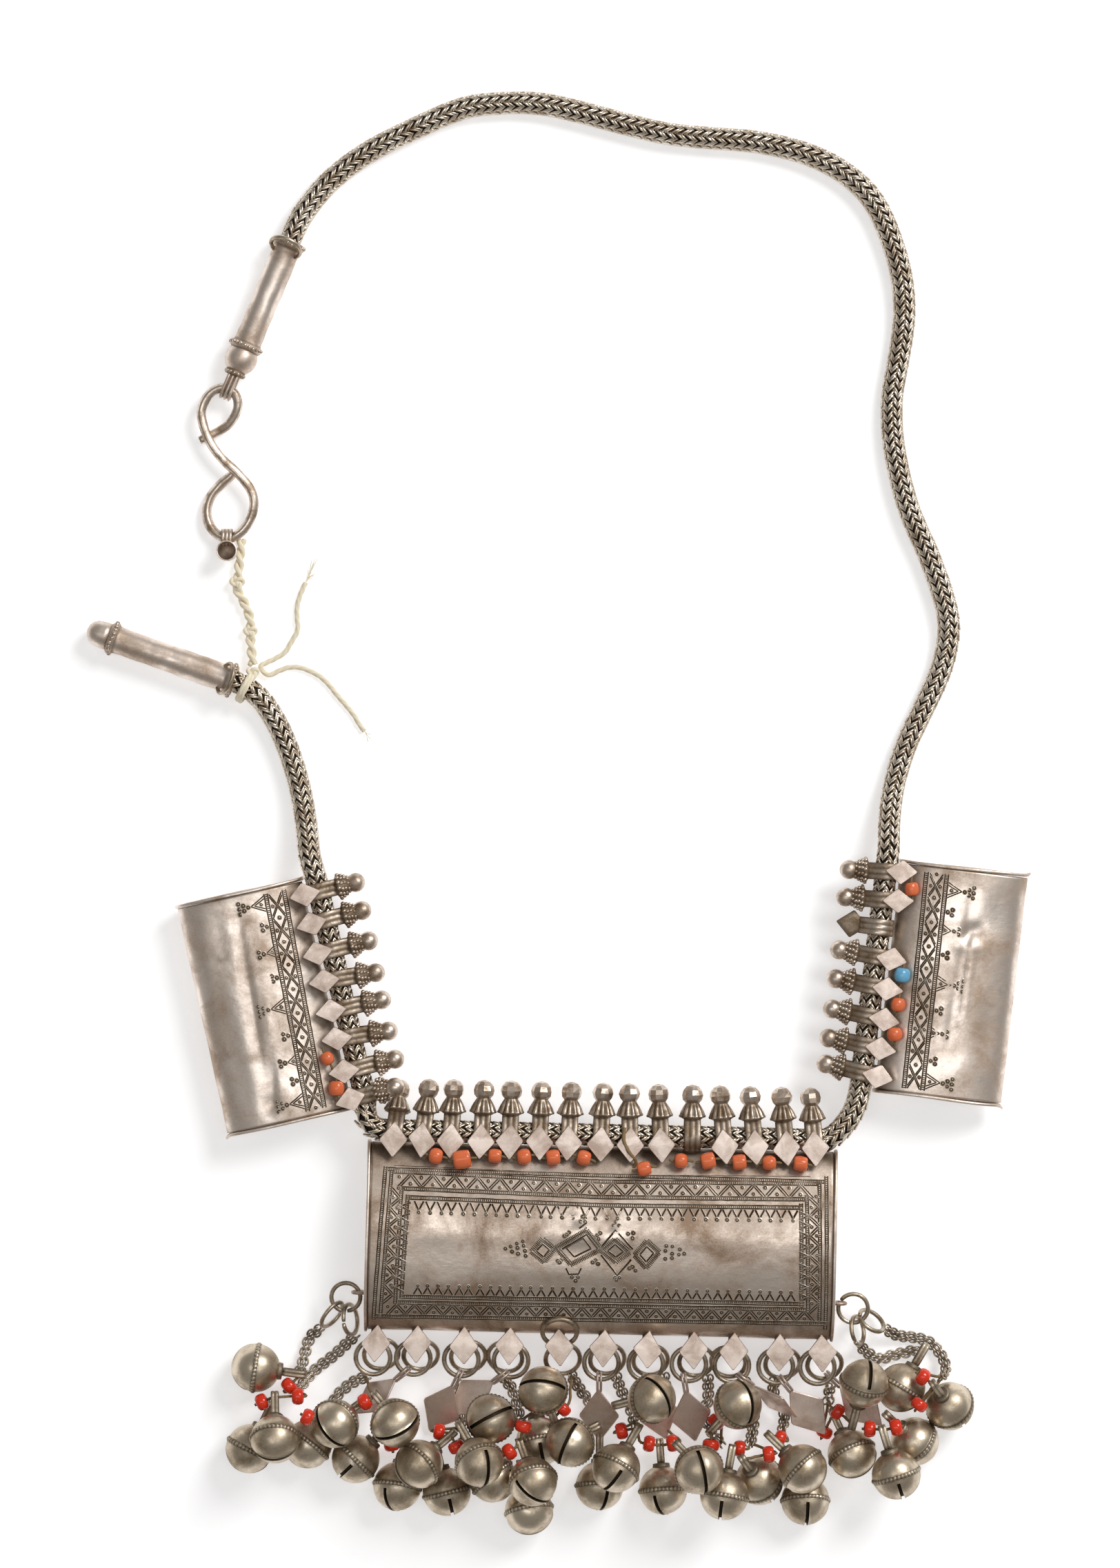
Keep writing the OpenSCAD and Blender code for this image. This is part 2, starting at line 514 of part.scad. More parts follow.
// The broken-off end of the lower terminal, still hanging on the hook by its strap
module end_cup() {
    hook_at = [-97.9, 79.7, 3.4];
    color(silver) translate(home) {
        difference() {
            union() {
                translate([cup_at[0], cup_at[1], cup_z]) cylinder(r = cup_r, h = 5);
                translate(hook_at) across(3.2) circle(2.7, $fn = 24);
            }
            translate([cup_at[0], cup_at[1], cup_z + 0.8]) cylinder(r = cup_r - 0.5, h = 6);
            translate(hook_at) across(8) circle(2, $fn = 24);
        }
    }
}

module tie_string() { color(cotton) translate(home) swept(tie_route, tie_d / 2, 8); }

module tie_tails() { color(cotton) translate(home) swept(tail_route, strand_d / 2, 8); }

// Two turns of the string round the chain beside the lower terminal
module tie_wrap() {
    wrap_at = [-92.4, 36.1, 5];
    color(cotton) translate(home + wrap_at) rotate([0, 0, 149]) rotate([0, 90, 0]) rotate_extrude()
        translate([chain_r + strand_d / 2 + 0.2, 0]) square([strand_d, 2 * strand_d], center = true);
}

// A bead that is drilled along x
module drilled(d, l, hole) {
    rotate([0, 90, 0]) rotate_extrude() intersection() {
        translate([d / 2 - l / 2, 0]) circle(l / 2, $fn = 32);
        translate([hole, -l]) square([d, 2 * l]);
    }
}

// A bead rests on the rounded edge of the tube, whose surface drops towards the chain.
function edge_z(c, v) =
    let(x = (-v - edge(c) - half_w(c)) / half_w(c)) mid_z(c) + half_t(c) * sqrt(max(0, 1 - x * x));
function coral_z(c, p) = edge_z(c, p[1] - p[2] / 4) + p[2] / 2 + 0.4;

module coral_row(c, beads) {
    at_case(c) for (p = beads) translate([p[0], p[1], coral_z(c, p)]) drilled(p[2], 0.92 * p[2], coral_hole);
}

module coral_beads() {
    color(coral) {
        coral_row(centre, centre_coral);
        coral_row(left, left_coral);
        coral_row(right, right_coral);
    }
}

// What shows of the thread: a short length through each bead
module thread_row(c, beads) {
    at_case(c) for (p = beads) translate([p[0], p[1], coral_z(c, p)]) rotate([0, 90, 0])
        cylinder(r = coral_thread, h = p[2] + 0.2, center = true, $fn = 24);
}

module coral_threads() {
    color(thread) {
        thread_row(centre, centre_coral);
        thread_row(left, left_coral);
        thread_row(right, right_coral);
    }
}

function to_bail(p) = let(e = bail_at(p[3])) atan2(e[1] - p[1], e[0] - p[0]);

module glass_beads() {
    color(glass_red) translate(home) for (p = glass_at)
        translate([p[0], p[1], p[2]]) rotate([0, 0, to_bail(p)]) drilled(glass_d, glass_l, glass_hole);
}

module bead_cords() {
    color(thread) translate(home) for (p = glass_at)
        translate([p[0], p[1], p[2]]) rotate([0, 0, to_bail(p)]) rotate([0, 90, 0])
            cylinder(r = cord_r, h = glass_l + 1.2, center = true);
}

module case_rings() {
    color(pale_silver) {
        at_case(centre) for (p = lower_rings)
            translate([lower_eyes[p[0] - 1], eye_v, eye_z + p[3] * wire_level]) rotate([0, 0, p[2]])
                rotate([p[1], 0, 0]) translate([0, -ring_r, 0]) ring(ring_r, ring_wire);
        translate(home) for (p = side_rings)
            translate([p[0], p[1], p[2]]) rotate([0, 0, p[4]]) rotate([p[5], 0, 0]) ring(p[3], side_wire);
    }
}

module drop_chains() {
    color(silver) translate(home) for (p = drop_routes) swept(smooth(p, 2), drop_d / 2, 8);
}

module lozenge_pendants() {
    color(pale_silver) translate(home) for (p = pendants)
        translate(on_ring(lower_rings[p[0] - 1], p[1])) rotate([0, 0, p[2]]) rotate([0, p[3], 0]) {
            rotate([90, 0, 0]) translate([0, 0, -0.9]) linear_extrude(1.8) difference() {
                polygon(stirrup(2.2, 0.9, 3.2));
                polygon(stirrup(1.65, 0.5, 2.3));
            }
            translate([3 + pendant_l / 2, 0, 0]) rotate([p[4], 0, 0]) rotate([0, 0, 90])
                translate([0, 0, -pendant_t / 2]) lozenge(pendant_w, pendant_l, pendant_t);
        }
}

module bell(i) {
    b = bells[i - 1];
    color(bell_silver) translate(home + bell_at(i)) rotate([0, 0, b[2]]) rotate([0, 90 - b[3], 0]) {
        rotate([0, 0, b[4]]) difference() {
            union() {
                sphere(r = bell_r);
                ring(bell_r, 2 * band_r);
                translate([0, 0, bell_r - 0.4]) cylinder(r = collar_r, h = collar_h);
            }
            sphere(r = bell_r - bell_wall);
            translate([-bell_d, -slit_w / 2, -bell_d]) cube([2 * bell_d, slit_w, bell_d - 1.8]);
        }
        translate([0, 0, bell_r + collar_h - 0.4]) rotate([0, -bend(b), 0]) rotate([0, -90, 90])
            translate([bail_half - 0.3, 0, -bail_w / 2]) linear_extrude(bail_w) difference() {
                polygon(stirrup(bail_half, bail_half, bail_l));
                polygon(stirrup(bail_half - bail_t, bail_half - bail_t, bail_l));
            }
    }
}

rope_chain();
centre_case();
left_case();
right_case();
turned_loop();
centre_left_plate();
centre_right_plate();
left_top_plate();
left_bottom_plate();
right_top_plate();
right_bottom_plate();
upper_terminal();
lower_terminal();
terminal_rings();
clasp_hook();
end_cup();
tie_string();
tie_tails();
tie_wrap();
coral_beads();
coral_threads();
glass_beads();
bead_cords();
case_rings();
drop_chains();
lozenge_pendants();
for (i = [1 : len(bells)])
    bell(i);
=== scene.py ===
# %% [markdown]
# A silver necklace with amulet cases, laid out flat
#
# The necklace is a plaited chain that carries three tubes of sheet silver. Cast loops with little balls
# hold the tubes to the chain, and the largest tube has a fringe of rings, thin chains, beads and bells.
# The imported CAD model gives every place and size. Here each piece gets its real surface: the plait, the
# chased lines, the granules, the worn and tarnished silver.

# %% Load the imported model
import math
import random
import bpy
import numpy as np
from mathutils import Matrix, Vector, noise


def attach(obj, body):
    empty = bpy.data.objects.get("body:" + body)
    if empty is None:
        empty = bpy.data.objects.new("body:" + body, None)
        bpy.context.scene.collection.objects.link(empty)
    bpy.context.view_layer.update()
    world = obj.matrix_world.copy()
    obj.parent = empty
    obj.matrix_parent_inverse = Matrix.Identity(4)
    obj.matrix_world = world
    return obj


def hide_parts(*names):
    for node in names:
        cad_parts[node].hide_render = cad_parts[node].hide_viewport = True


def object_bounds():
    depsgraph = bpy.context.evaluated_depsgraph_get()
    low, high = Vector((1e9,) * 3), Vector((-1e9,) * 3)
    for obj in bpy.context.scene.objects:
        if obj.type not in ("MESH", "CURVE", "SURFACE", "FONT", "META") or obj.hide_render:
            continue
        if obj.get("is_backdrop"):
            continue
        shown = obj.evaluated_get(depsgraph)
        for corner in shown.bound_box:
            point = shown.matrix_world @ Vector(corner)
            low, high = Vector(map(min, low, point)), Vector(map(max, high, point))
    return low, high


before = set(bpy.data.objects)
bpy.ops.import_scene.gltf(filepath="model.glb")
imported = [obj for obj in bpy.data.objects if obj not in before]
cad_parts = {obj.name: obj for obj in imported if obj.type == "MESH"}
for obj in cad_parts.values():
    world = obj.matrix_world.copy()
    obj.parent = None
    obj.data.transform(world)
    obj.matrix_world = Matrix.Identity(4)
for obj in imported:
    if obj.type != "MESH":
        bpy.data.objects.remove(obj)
cad_low, cad_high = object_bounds()
print("CAD box in mm:", [round(1000 * c) for c in (*cad_low, *cad_high)])

# %% [markdown]
# Everything is laid out in millimetres, in the same coordinates as the CAD source, and one shift brings
# it home. A piece is turned into metres only when its mesh is finished, so its object stays at the
# origin, untouched, as the CAD nodes do.

# %% Units and the shift home
MM = 0.001
HOME = Vector((1.55, 0.15, 0))
to_metres = Matrix.Scale(MM, 4) @ Matrix.Translation(HOME)
rng = random.Random(7)


def spin(degrees, axis):
    return Matrix.Rotation(math.radians(degrees), 4, axis)


def place(x=0.0, y=0.0, z=0.0, turn=0.0, lift=0.0, roll=0.0):
    """A matrix that rolls about x, lifts about y, turns about z and then moves; angles in degrees."""
    return Matrix.Translation((x, y, z)) @ (spin(turn, "Z") @ spin(lift, "Y")) @ spin(roll, "X")


def in_scene(name, data):
    made = bpy.data.objects.new(name, data)
    bpy.context.scene.collection.objects.link(made)
    return made


# %% [markdown]
# Most pieces are gathered on a bench: a list of surfaces that end up in one mesh. Each point also has a
# number called recess, from 0 on proud metal to 1 deep in a groove. The finishes read it and darken the
# colour there: partly the tarnish that old silver keeps where a polishing cloth doesn't reach, and partly
# painted shade in grooves, gaps, hollows and undersides.

# %% A bench that gathers surfaces into one mesh
class Bench:
    def __init__(self):
        self.points, self.recess, self.faces, self.flat, self.count = [], [], [], [], 0

    def add(self, points, faces, recess=0.0, at=None, flat=False):
        points = np.asarray(points, float).reshape(-1, 3)
        if at is not None:
            m = np.array(at)
            points = points @ m[:3, :3].T + m[:3, 3]
        self.points.append(points)
        self.recess.append(np.broadcast_to(np.asarray(recess, float).reshape(-1), len(points)))
        self.faces += [tuple(i + self.count for i in f) for f in faces]
        self.flat += [flat] * len(faces)
        self.count += len(points)

    def bench(self, other, at):
        self.add(np.concatenate(other.points), other.faces, np.concatenate(other.recess), at)
        self.flat[-len(other.flat):] = other.flat

    def mesh(self, name):
        mesh = bpy.data.meshes.new(name)
        mesh.from_pydata(np.concatenate(self.points).tolist(), [], self.faces)
        mesh.polygons.foreach_set("use_smooth", [not f for f in self.flat])
        deep = mesh.attributes.new("recess", "FLOAT", "POINT")
        deep.data.foreach_set("value", np.concatenate(self.recess).astype(np.float32))
        return mesh

    def object(self, name):
        return in_scene(name, self.mesh(name))


# %% Finish a piece: metres, material, body and the CAD node it stands for
def finish(made, material, slot, *nodes):
    """made is an object, or a bench together with the name of its piece."""
    if isinstance(made, tuple):
        made = made[0].object(made[1])
    made.data.transform(to_metres)
    made.data.materials.clear()
    made.data.materials.append(material)
    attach(made, "root")
    if nodes:
        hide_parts(*nodes)
    print(made.name, len(made.data.polygons), "faces")
    return made


# %% [markdown]
# Three ways to lay a surface. A loft joins rings of points and closes both ends. A lathe is a loft whose
# rings are circles. A tube is a loft whose rings follow a path, with the frame carried along it so that
# it never twists by itself.

# %% Loft, lathe and tube
def loft(rings, closed=False):
    rings = np.asarray(rings, float)
    n, m = rings.shape[:2]
    faces = []
    for i in range(n if closed else n - 1):
        a, b = i * m, (i + 1) % n * m
        faces += [(a + j, a + (j + 1) % m, b + (j + 1) % m, b + j) for j in range(m)]
    if not closed:
        faces += [tuple(range(m - 1, -1, -1)), tuple((n - 1) * m + j for j in range(m))]
    return rings.reshape(-1, 3), faces


def around(n):
    """The angles of n even steps round one turn, in radians."""
    return 2 * np.pi * np.arange(n) / n


def hoop(r, z, angles):
    """A ring of points about z. r is one radius, or one for each angle."""
    return np.stack([r * np.cos(angles), r * np.sin(angles), np.full(len(angles), z)], 1)


def lathe(profile, n=24, ripple=None):
    """Turns (radius, height) rows about z. ripple(angle, row, radius) may change a radius."""
    rings = []
    for row, (r, z) in enumerate(profile):
        if ripple is not None:
            r = np.array([ripple(a, row, r) for a in around(n)])
        rings.append(hoop(np.maximum(r, 0.01), z, around(n)))
    return loft(rings)


def ball(r, rows=10, n=16):
    a = np.linspace(-90, 90, rows + 1)
    return lathe([(r * math.cos(math.radians(t)), r * math.sin(math.radians(t))) for t in a], n)


def frames(path, closed=False, up=(0, 0, 1)):
    path = np.asarray(path, float)
    if closed:
        along = np.roll(path, -1, 0) - np.roll(path, 1, 0)
    else:
        along = np.gradient(path, axis=0)
    along /= np.linalg.norm(along, axis=1)[:, None]
    side = np.cross(along[0], up)
    if np.linalg.norm(side) < 0.05:
        side = np.cross(along[0], (0, 1, 0))
    sides = []
    for t in along:
        side = side - t * np.dot(side, t)
        side = side / np.linalg.norm(side)
        sides.append(side)
    sides = np.array(sides)
    return path, along, sides, np.cross(sides, along)


def tube(path, radius, sides=8, closed=False, shape=None):
    """shape(row, angle) may change the radius."""
    path, _, side, up = frames(path, closed)
    radius = np.broadcast_to(radius, len(path))
    turn = around(sides)
    rings = []
    for i in range(len(path)):
        r = radius[i] * (np.ones(sides) if shape is None else np.array([shape(i, a) for a in turn]))
        rings.append(path[i] + (r * np.cos(turn))[:, None] * side[i] + (r * np.sin(turn))[:, None] * up[i])
    return loft(rings, closed)


def smooth(points, steps):
    """Points on a smooth curve through the given ones."""
    p = np.asarray(points, float)
    out = []
    for i in range(len(p) - 1):
        a, b, c, d = p[max(i - 1, 0)], p[i], p[i + 1], p[min(i + 2, len(p) - 1)]
        for t in np.arange(steps) / steps:
            out.append(0.5 * (2 * b + (c - a) * t + (2 * a - 5 * b + 4 * c - d) * t * t
                              + (3 * b - a - 3 * c + d) * t ** 3))
    return np.array(out + [p[-1]])


def even(path, gap):
    """The same path with points at an even distance, and how far along each one lies."""
    path = np.asarray(path, float)
    run = np.r_[0, np.cumsum(np.linalg.norm(np.diff(path, axis=0), axis=1))]
    at = np.linspace(0, run[-1], max(2, int(run[-1] / gap)))
    return np.stack([np.interp(at, run, path[:, k]) for k in range(3)], 1), at


def circle(r, n=24, start=0.0, sweep=360.0):
    t = np.radians(start + sweep * np.arange(n) / (n if sweep == 360 else n - 1))
    return np.stack([r * np.cos(t), r * np.sin(t), 0 * t], 1)


def stirrup(r0, r1, d, n=6):
    """Outline of two circles joined by their tangents, wide at the origin and narrow d away."""
    a = math.acos((r0 - r1) / d)
    near = [-a + 2 * a * i / n for i in range(n + 1)]
    far = [a + (2 * math.pi - 2 * a) * i / (2 * n) for i in range(2 * n + 1)]
    return np.array([(d + r1 * math.cos(t), r1 * math.sin(t)) for t in near]
                    + [(r0 * math.cos(t), r0 * math.sin(t)) for t in far])


# %% [markdown]
# Geometry Nodes place whatever repeats. The first tree puts a template on each point of a list, with a
# turn and a size of its own. The second walks along a path at an even pitch and sets down a link at each
# step, each one turned about the path against the last. Both end in Realize Instances and Set Material,
# and the result is kept as a plain mesh.

# %% Small helpers for node trees
def add_node(tree, kind, inputs=None, **settings):
    made = tree.nodes.new(kind)
    for key, value in settings.items():
        setattr(made, key, value)
    for key, value in (inputs or {}).items():
        if isinstance(value, bpy.types.NodeSocket):
            tree.links.new(value, made.inputs[key])
        else:
            made.inputs[key].default_value = value
    return made


def new_tree(name, kind, inputs, outputs):
    tree = bpy.data.node_groups.new(name, kind)
    for direction, sockets in (("INPUT", inputs), ("OUTPUT", outputs)):
        for label, socket in sockets:
            tree.interface.new_socket(label, in_out=direction, socket_type="NodeSocket" + socket)
    return tree, tree.nodes.new("NodeGroupInput"), tree.nodes.new("NodeGroupOutput")


def set_down(tree, given, result, points, **turn_and_size):
    """The end of both trees: templates on points, made real and given their material."""
    template = add_node(tree, "GeometryNodeObjectInfo", {"Object": given.outputs["Template"]})
    inputs = {"Points": points, "Instance": template.outputs["Geometry"], **turn_and_size}
    placed = add_node(tree, "GeometryNodeInstanceOnPoints", inputs)
    real = add_node(tree, "GeometryNodeRealizeInstances", {"Geometry": placed.outputs[0]})
    inputs = {"Geometry": real.outputs[0], "Material": given.outputs["Finish"]}
    tree.links.new(add_node(tree, "GeometryNodeSetMaterial", inputs).outputs[0], result.inputs[0])
    print("tree", tree.name, "has", len(tree.nodes), "nodes")


# %% The tree that sets out templates on points
setting, given, result = new_tree("Set out", "GeometryNodeTree",
    [("Places", "Geometry"), ("Template", "Object"), ("Finish", "Material")], [("Geometry", "Geometry")])
turns = add_node(setting, "GeometryNodeInputNamedAttribute", {"Name": "turn"}, data_type="FLOAT_VECTOR")
sizes = add_node(setting, "GeometryNodeInputNamedAttribute", {"Name": "size"}, data_type="FLOAT_VECTOR")
euler = add_node(setting, "FunctionNodeEulerToRotation", {0: turns.outputs["Attribute"]})
set_down(setting, given, result, given.outputs["Places"], Rotation=euler.outputs[0],
         Scale=sizes.outputs["Attribute"])

# %% The tree that sets out links along a path
linking, given, result = new_tree("Row of links", "GeometryNodeTree",
    [("Path", "Geometry"), ("Template", "Object"), ("Pitch", "Float"), ("Quarter turn", "Float"),
     ("Finish", "Material")], [("Geometry", "Geometry")])
stepped = add_node(linking, "GeometryNodeCurveToPoints",
    {"Curve": given.outputs["Path"], "Length": given.outputs["Pitch"]}, mode="LENGTH")
faced = add_node(linking, "FunctionNodeAlignRotationToVector", {"Vector": stepped.outputs["Tangent"]},
                 axis="Z")
level = add_node(linking, "FunctionNodeAlignRotationToVector",
    {"Rotation": faced.outputs[0], "Vector": stepped.outputs["Normal"]}, axis="X", pivot_axis="Z")
index = add_node(linking, "GeometryNodeInputIndex")
odd = add_node(linking, "ShaderNodeMath", {0: index.outputs[0], 1: 2.0}, operation="MODULO")
swing = add_node(linking, "ShaderNodeMath", {0: odd.outputs[0], 1: given.outputs["Quarter turn"]},
    operation="MULTIPLY")
about = add_node(linking, "ShaderNodeCombineXYZ", {"Z": swing.outputs[0]})
euler = add_node(linking, "FunctionNodeEulerToRotation", {0: about.outputs[0]})
turned = add_node(linking, "FunctionNodeRotateRotation", {0: level.outputs[0], 1: euler.outputs[0]},
    rotation_space="LOCAL")
set_down(linking, given, result, stepped.outputs["Points"], Rotation=turned.outputs[0])


# %% Run a tree and keep its result as a plain mesh
def grown(name, base, tree, values):
    modifier = base.modifiers.new("Grow", "NODES")
    modifier.node_group = tree
    for socket in tree.interface.items_tree:
        if socket.in_out == "INPUT" and socket.name in values:
            modifier[socket.identifier] = values[socket.name]
    bpy.context.view_layer.update()
    evaluated = base.evaluated_get(bpy.context.evaluated_depsgraph_get())
    made = in_scene(name, bpy.data.meshes.new_from_object(evaluated))
    for spent in (base, values["Template"]):
        bpy.data.objects.remove(spent)
    return made


def set_out(name, pattern, places, material):
    """places holds rows of (matrix, size)."""
    mesh = bpy.data.meshes.new(name + "_places")
    mesh.from_pydata([m.translation[:] for m, _ in places], [], [])
    turns, sizes = [m.to_euler()[:] for m, _ in places], [(size,) * 3 for _, size in places]
    for label, rows in (("turn", turns), ("size", sizes)):
        noted = mesh.attributes.new(label, "FLOAT_VECTOR", "POINT")
        noted.data.foreach_set("vector", np.array(rows, np.float32).ravel())
    values = {"Template": pattern.object(name + "_template"), "Finish": material}
    return grown(name, in_scene(name + "_places", mesh), setting, values)


def link_up(name, pattern, paths, pitch, quarter, material):
    """Lays links along each path, every second one turned about it by quarter."""
    curve = bpy.data.curves.new(name + "_path", "CURVE")
    curve.dimensions = "3D"
    for path in paths:
        spline = curve.splines.new("POLY")
        spline.points.add(len(path) - 1)
        spline.points.foreach_set("co", np.c_[path, np.ones(len(path))].ravel())
    curve.twist_mode = "Z_UP"
    values = {"Template": pattern.object(name + "_template"), "Pitch": pitch, "Quarter turn": quarter,
              "Finish": material}
    return grown(name, in_scene(name + "_path", curve), linking, values)


# %% [markdown]
# The camera looks straight down, as the photograph does, from far enough away that tall pieces hardly
# lean. The floor stands for the photographer's white ground. A long light straight above lays a pale
# streak on each tube, and a smaller one from beyond the back of the neck throws the soft shadows.

# %% Camera, floor and lights
FRAME_HEIGHT, CAMERA_HEIGHT = 454.8, 1300.0
view_at = Vector((-1.0, 8.0, 8.0)) + HOME
camera = in_scene("camera", bpy.data.cameras.new("camera"))
camera.data.lens = camera.data.sensor_width * CAMERA_HEIGHT / FRAME_HEIGHT
camera.data.clip_end = 20
camera.location = (view_at + Vector((0, 0, CAMERA_HEIGHT))) * MM
bpy.context.scene.camera = camera

floor_mesh = bpy.data.meshes.new("floor")
floor_mesh.from_pydata([(-15, -15, 0), (15, -15, 0), (15, 15, 0), (-15, 15, 0)], [], [(0, 1, 2, 3)])
floor = in_scene("floor", floor_mesh)
floor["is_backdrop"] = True


def soft_light(name, power, width, depth, spot, target=(0, 0, 0)):
    lamp = bpy.data.lights.new(name, "AREA")
    lamp.shape = "RECTANGLE"
    lamp.energy, lamp.size, lamp.size_y = power, width, depth
    made = in_scene(name, lamp)
    made.location = spot
    made.rotation_mode = "QUATERNION"
    made.rotation_quaternion = (Vector(target) - Vector(spot)).to_track_quat("-Z", "Y")


soft_light("overhead_box", 5.0, 1.6, 0.48, (0.0, -0.04, 1.7), (0.0, -0.0401, 0))
soft_light("key_window", 18, 0.7, 0.7, (0.9, 0.9, 1.2))
world = bpy.data.worlds.new("tent")
world.use_nodes = True
sky = world.node_tree.nodes["Background"].inputs
sky["Color"].default_value = (1.0, 0.97, 0.93, 1)
sky["Strength"].default_value = 0.25
bpy.context.scene.world = world
bpy.context.scene.view_settings.view_transform = "Standard"
print("camera at", [round(c, 3) for c in camera.location])

# %% [markdown]
# One group of shader nodes makes worn metal for every silver piece. Broad noise mixes bright and
# tarnished colour, fine noise adds pits and rubbed spots, and the recess number pulls the colour down to
# a dark colour: the dirt that sits in grooves, and painted shade in hollows and undersides. It gives back
# a colour, a roughness and a bumped normal, and each material feeds those to a shader of its own.

# %% Small helpers for shader nodes
def here(tree):
    return add_node(tree, "ShaderNodeTexCoord").outputs["Object"]


def recessed(tree):
    return add_node(tree, "ShaderNodeAttribute", attribute_name="recess").outputs["Fac"]


def speckle(tree, at, scale, detail=2.0, rough=0.5, distortion=0.0):
    """Noise from 0 to 1. Without a socket for its place it follows the object's own box."""
    inputs = {"Scale": scale, "Detail": detail, "Roughness": rough, "Distortion": distortion}
    if at is not None:
        inputs["Vector"] = at
    return add_node(tree, "ShaderNodeTexNoise", inputs).outputs["Fac"]


def blend(tree, factor, first, second):
    """Mixes two colours, each of them a socket or three numbers."""
    inputs = {"Factor": factor}
    for key, colour in ((6, first), (7, second)):
        inputs[key] = colour if isinstance(colour, bpy.types.NodeSocket) else (*colour, 1)
    return add_node(tree, "ShaderNodeMix", inputs, data_type="RGBA").outputs[2]


# %% The worn metal group
worn, given, result = new_tree("Worn metal", "ShaderNodeTree",
    [("Bright", "Color"), ("Tarnish", "Color"), ("Dirt and shade", "Color"), ("Tarnish share", "Float"),
     ("Patch", "Float"), ("Gloss", "Float"), ("Hammered", "Float")],
    [("Color", "Color"), ("Roughness", "Float"), ("Normal", "Vector")])
asked, where, deep = given.outputs, here(worn), recessed(worn)
stretched = add_node(worn, "ShaderNodeMapping",
    {"Vector": where, "Rotation": (0, 0, 0.6), "Scale": (260.0, 3600.0, 900.0)})
broad = speckle(worn, where, asked["Patch"], 7.0, 0.62, 0.4)
fine = speckle(worn, where, 1900.0, 4.0, 0.7)
scratch = speckle(worn, stretched.outputs[0], 1.0, 3.0, 0.65)
beaten = speckle(worn, where, 420.0)


def worn_math(operation, a, b=None, c=None, clamp=False):
    values = {i: v for i, v in enumerate((a, b, c)) if v is not None}
    return add_node(worn, "ShaderNodeMath", values, operation=operation, use_clamp=clamp).outputs[0]


spread = worn_math("MULTIPLY_ADD", worn_math("SUBTRACT", broad, 0.5), 3.6, asked["Tarnish share"])
grainy = worn_math("MULTIPLY_ADD", worn_math("SUBTRACT", fine, 0.5), 0.9, spread, clamp=True)
pits = worn_math("MULTIPLY_ADD", worn_math("SUBTRACT", 0.36, fine, clamp=True), 9.0, 0.0, clamp=True)
toned = blend(worn, grainy, asked["Bright"], asked["Tarnish"])
pitted = blend(worn, worn_math("MULTIPLY", pits, 0.45), toned, asked["Dirt and shade"])
# Recessed points take the dark colour: dirt, and painted shade
grooved = blend(worn, worn_math("MULTIPLY", deep, 0.97, clamp=True), pitted, asked["Dirt and shade"])
dull = worn_math("MULTIPLY_ADD", grainy, 0.22, asked["Gloss"])
dull = worn_math("MULTIPLY_ADD", deep, 0.3, dull)
dull = worn_math("MULTIPLY_ADD", scratch, 0.12, dull, clamp=True)
height = worn_math("MULTIPLY_ADD", scratch, 0.25, worn_math("MULTIPLY", fine, 0.35))
height = worn_math("MULTIPLY_ADD", beaten, asked["Hammered"], height)
bumped = add_node(worn, "ShaderNodeBump", {"Strength": 0.35, "Distance": 0.00012, "Height": height})
for label, socket in (("Color", grooved), ("Roughness", dull), ("Normal", bumped.outputs[0])):
    worn.links.new(socket, result.inputs[label])
print("group", worn.name, "has", len(worn.nodes), "nodes")


# %% Materials
def new_material(name):
    material = bpy.data.materials.new(name)
    material.use_nodes = True
    return material, material.node_tree, material.node_tree.nodes["Principled BSDF"]


def silver(name, bright, tarnish, dirt_and_shade, share, patch=90.0, gloss=0.24, hammered=0.6):
    material, tree, shader = new_material(name)
    group = add_node(tree, "ShaderNodeGroup", node_tree=worn)
    values = {"Bright": (*bright, 1), "Tarnish": (*tarnish, 1), "Dirt and shade": (*dirt_and_shade, 1), "Tarnish share": share,
              "Patch": patch, "Gloss": gloss, "Hammered": hammered}
    for key, value in values.items():
        group.inputs[key].default_value = value
    shader.inputs["Metallic"].default_value = 1.0
    for output, key in (("Color", "Base Color"), ("Roughness", "Roughness"), ("Normal", "Normal")):
        tree.links.new(group.outputs[output], shader.inputs[key])
    return material


# A near-black colour for recessed points: dirt, and painted shade
DIRT_AND_SHADE = (0.030, 0.019, 0.010)
# Each has a bright, a tarnished and a dark colour, then the share of tarnish, the scale of its patches,
# its gloss and how much the hammer shows. The dark colour fills recessed points: the dirt and tarnish that
# sit there, and painted shade in grooves, hollows and undersides
case_silver = silver("case_silver", (0.80, 0.69, 0.60), (0.34, 0.24, 0.17), (0.115, 0.070, 0.032), 0.44, 60,
                     0.24, 1.2)
tube_silver = silver("tube_silver", (0.95, 0.84, 0.75), (0.52, 0.40, 0.31), (0.12, 0.078, 0.038), 0.42, 85,
                     0.27, 1.4)
pale_silver = silver("pale_silver", (0.86, 0.735, 0.655), (0.62, 0.49, 0.41), DIRT_AND_SHADE, 0.38, 160, 0.36, 0.3)
cast_silver = silver("cast_silver", (0.78, 0.67, 0.57), (0.33, 0.24, 0.17), (0.125, 0.080, 0.034), 0.46,
                     260, 0.24, 0.5)
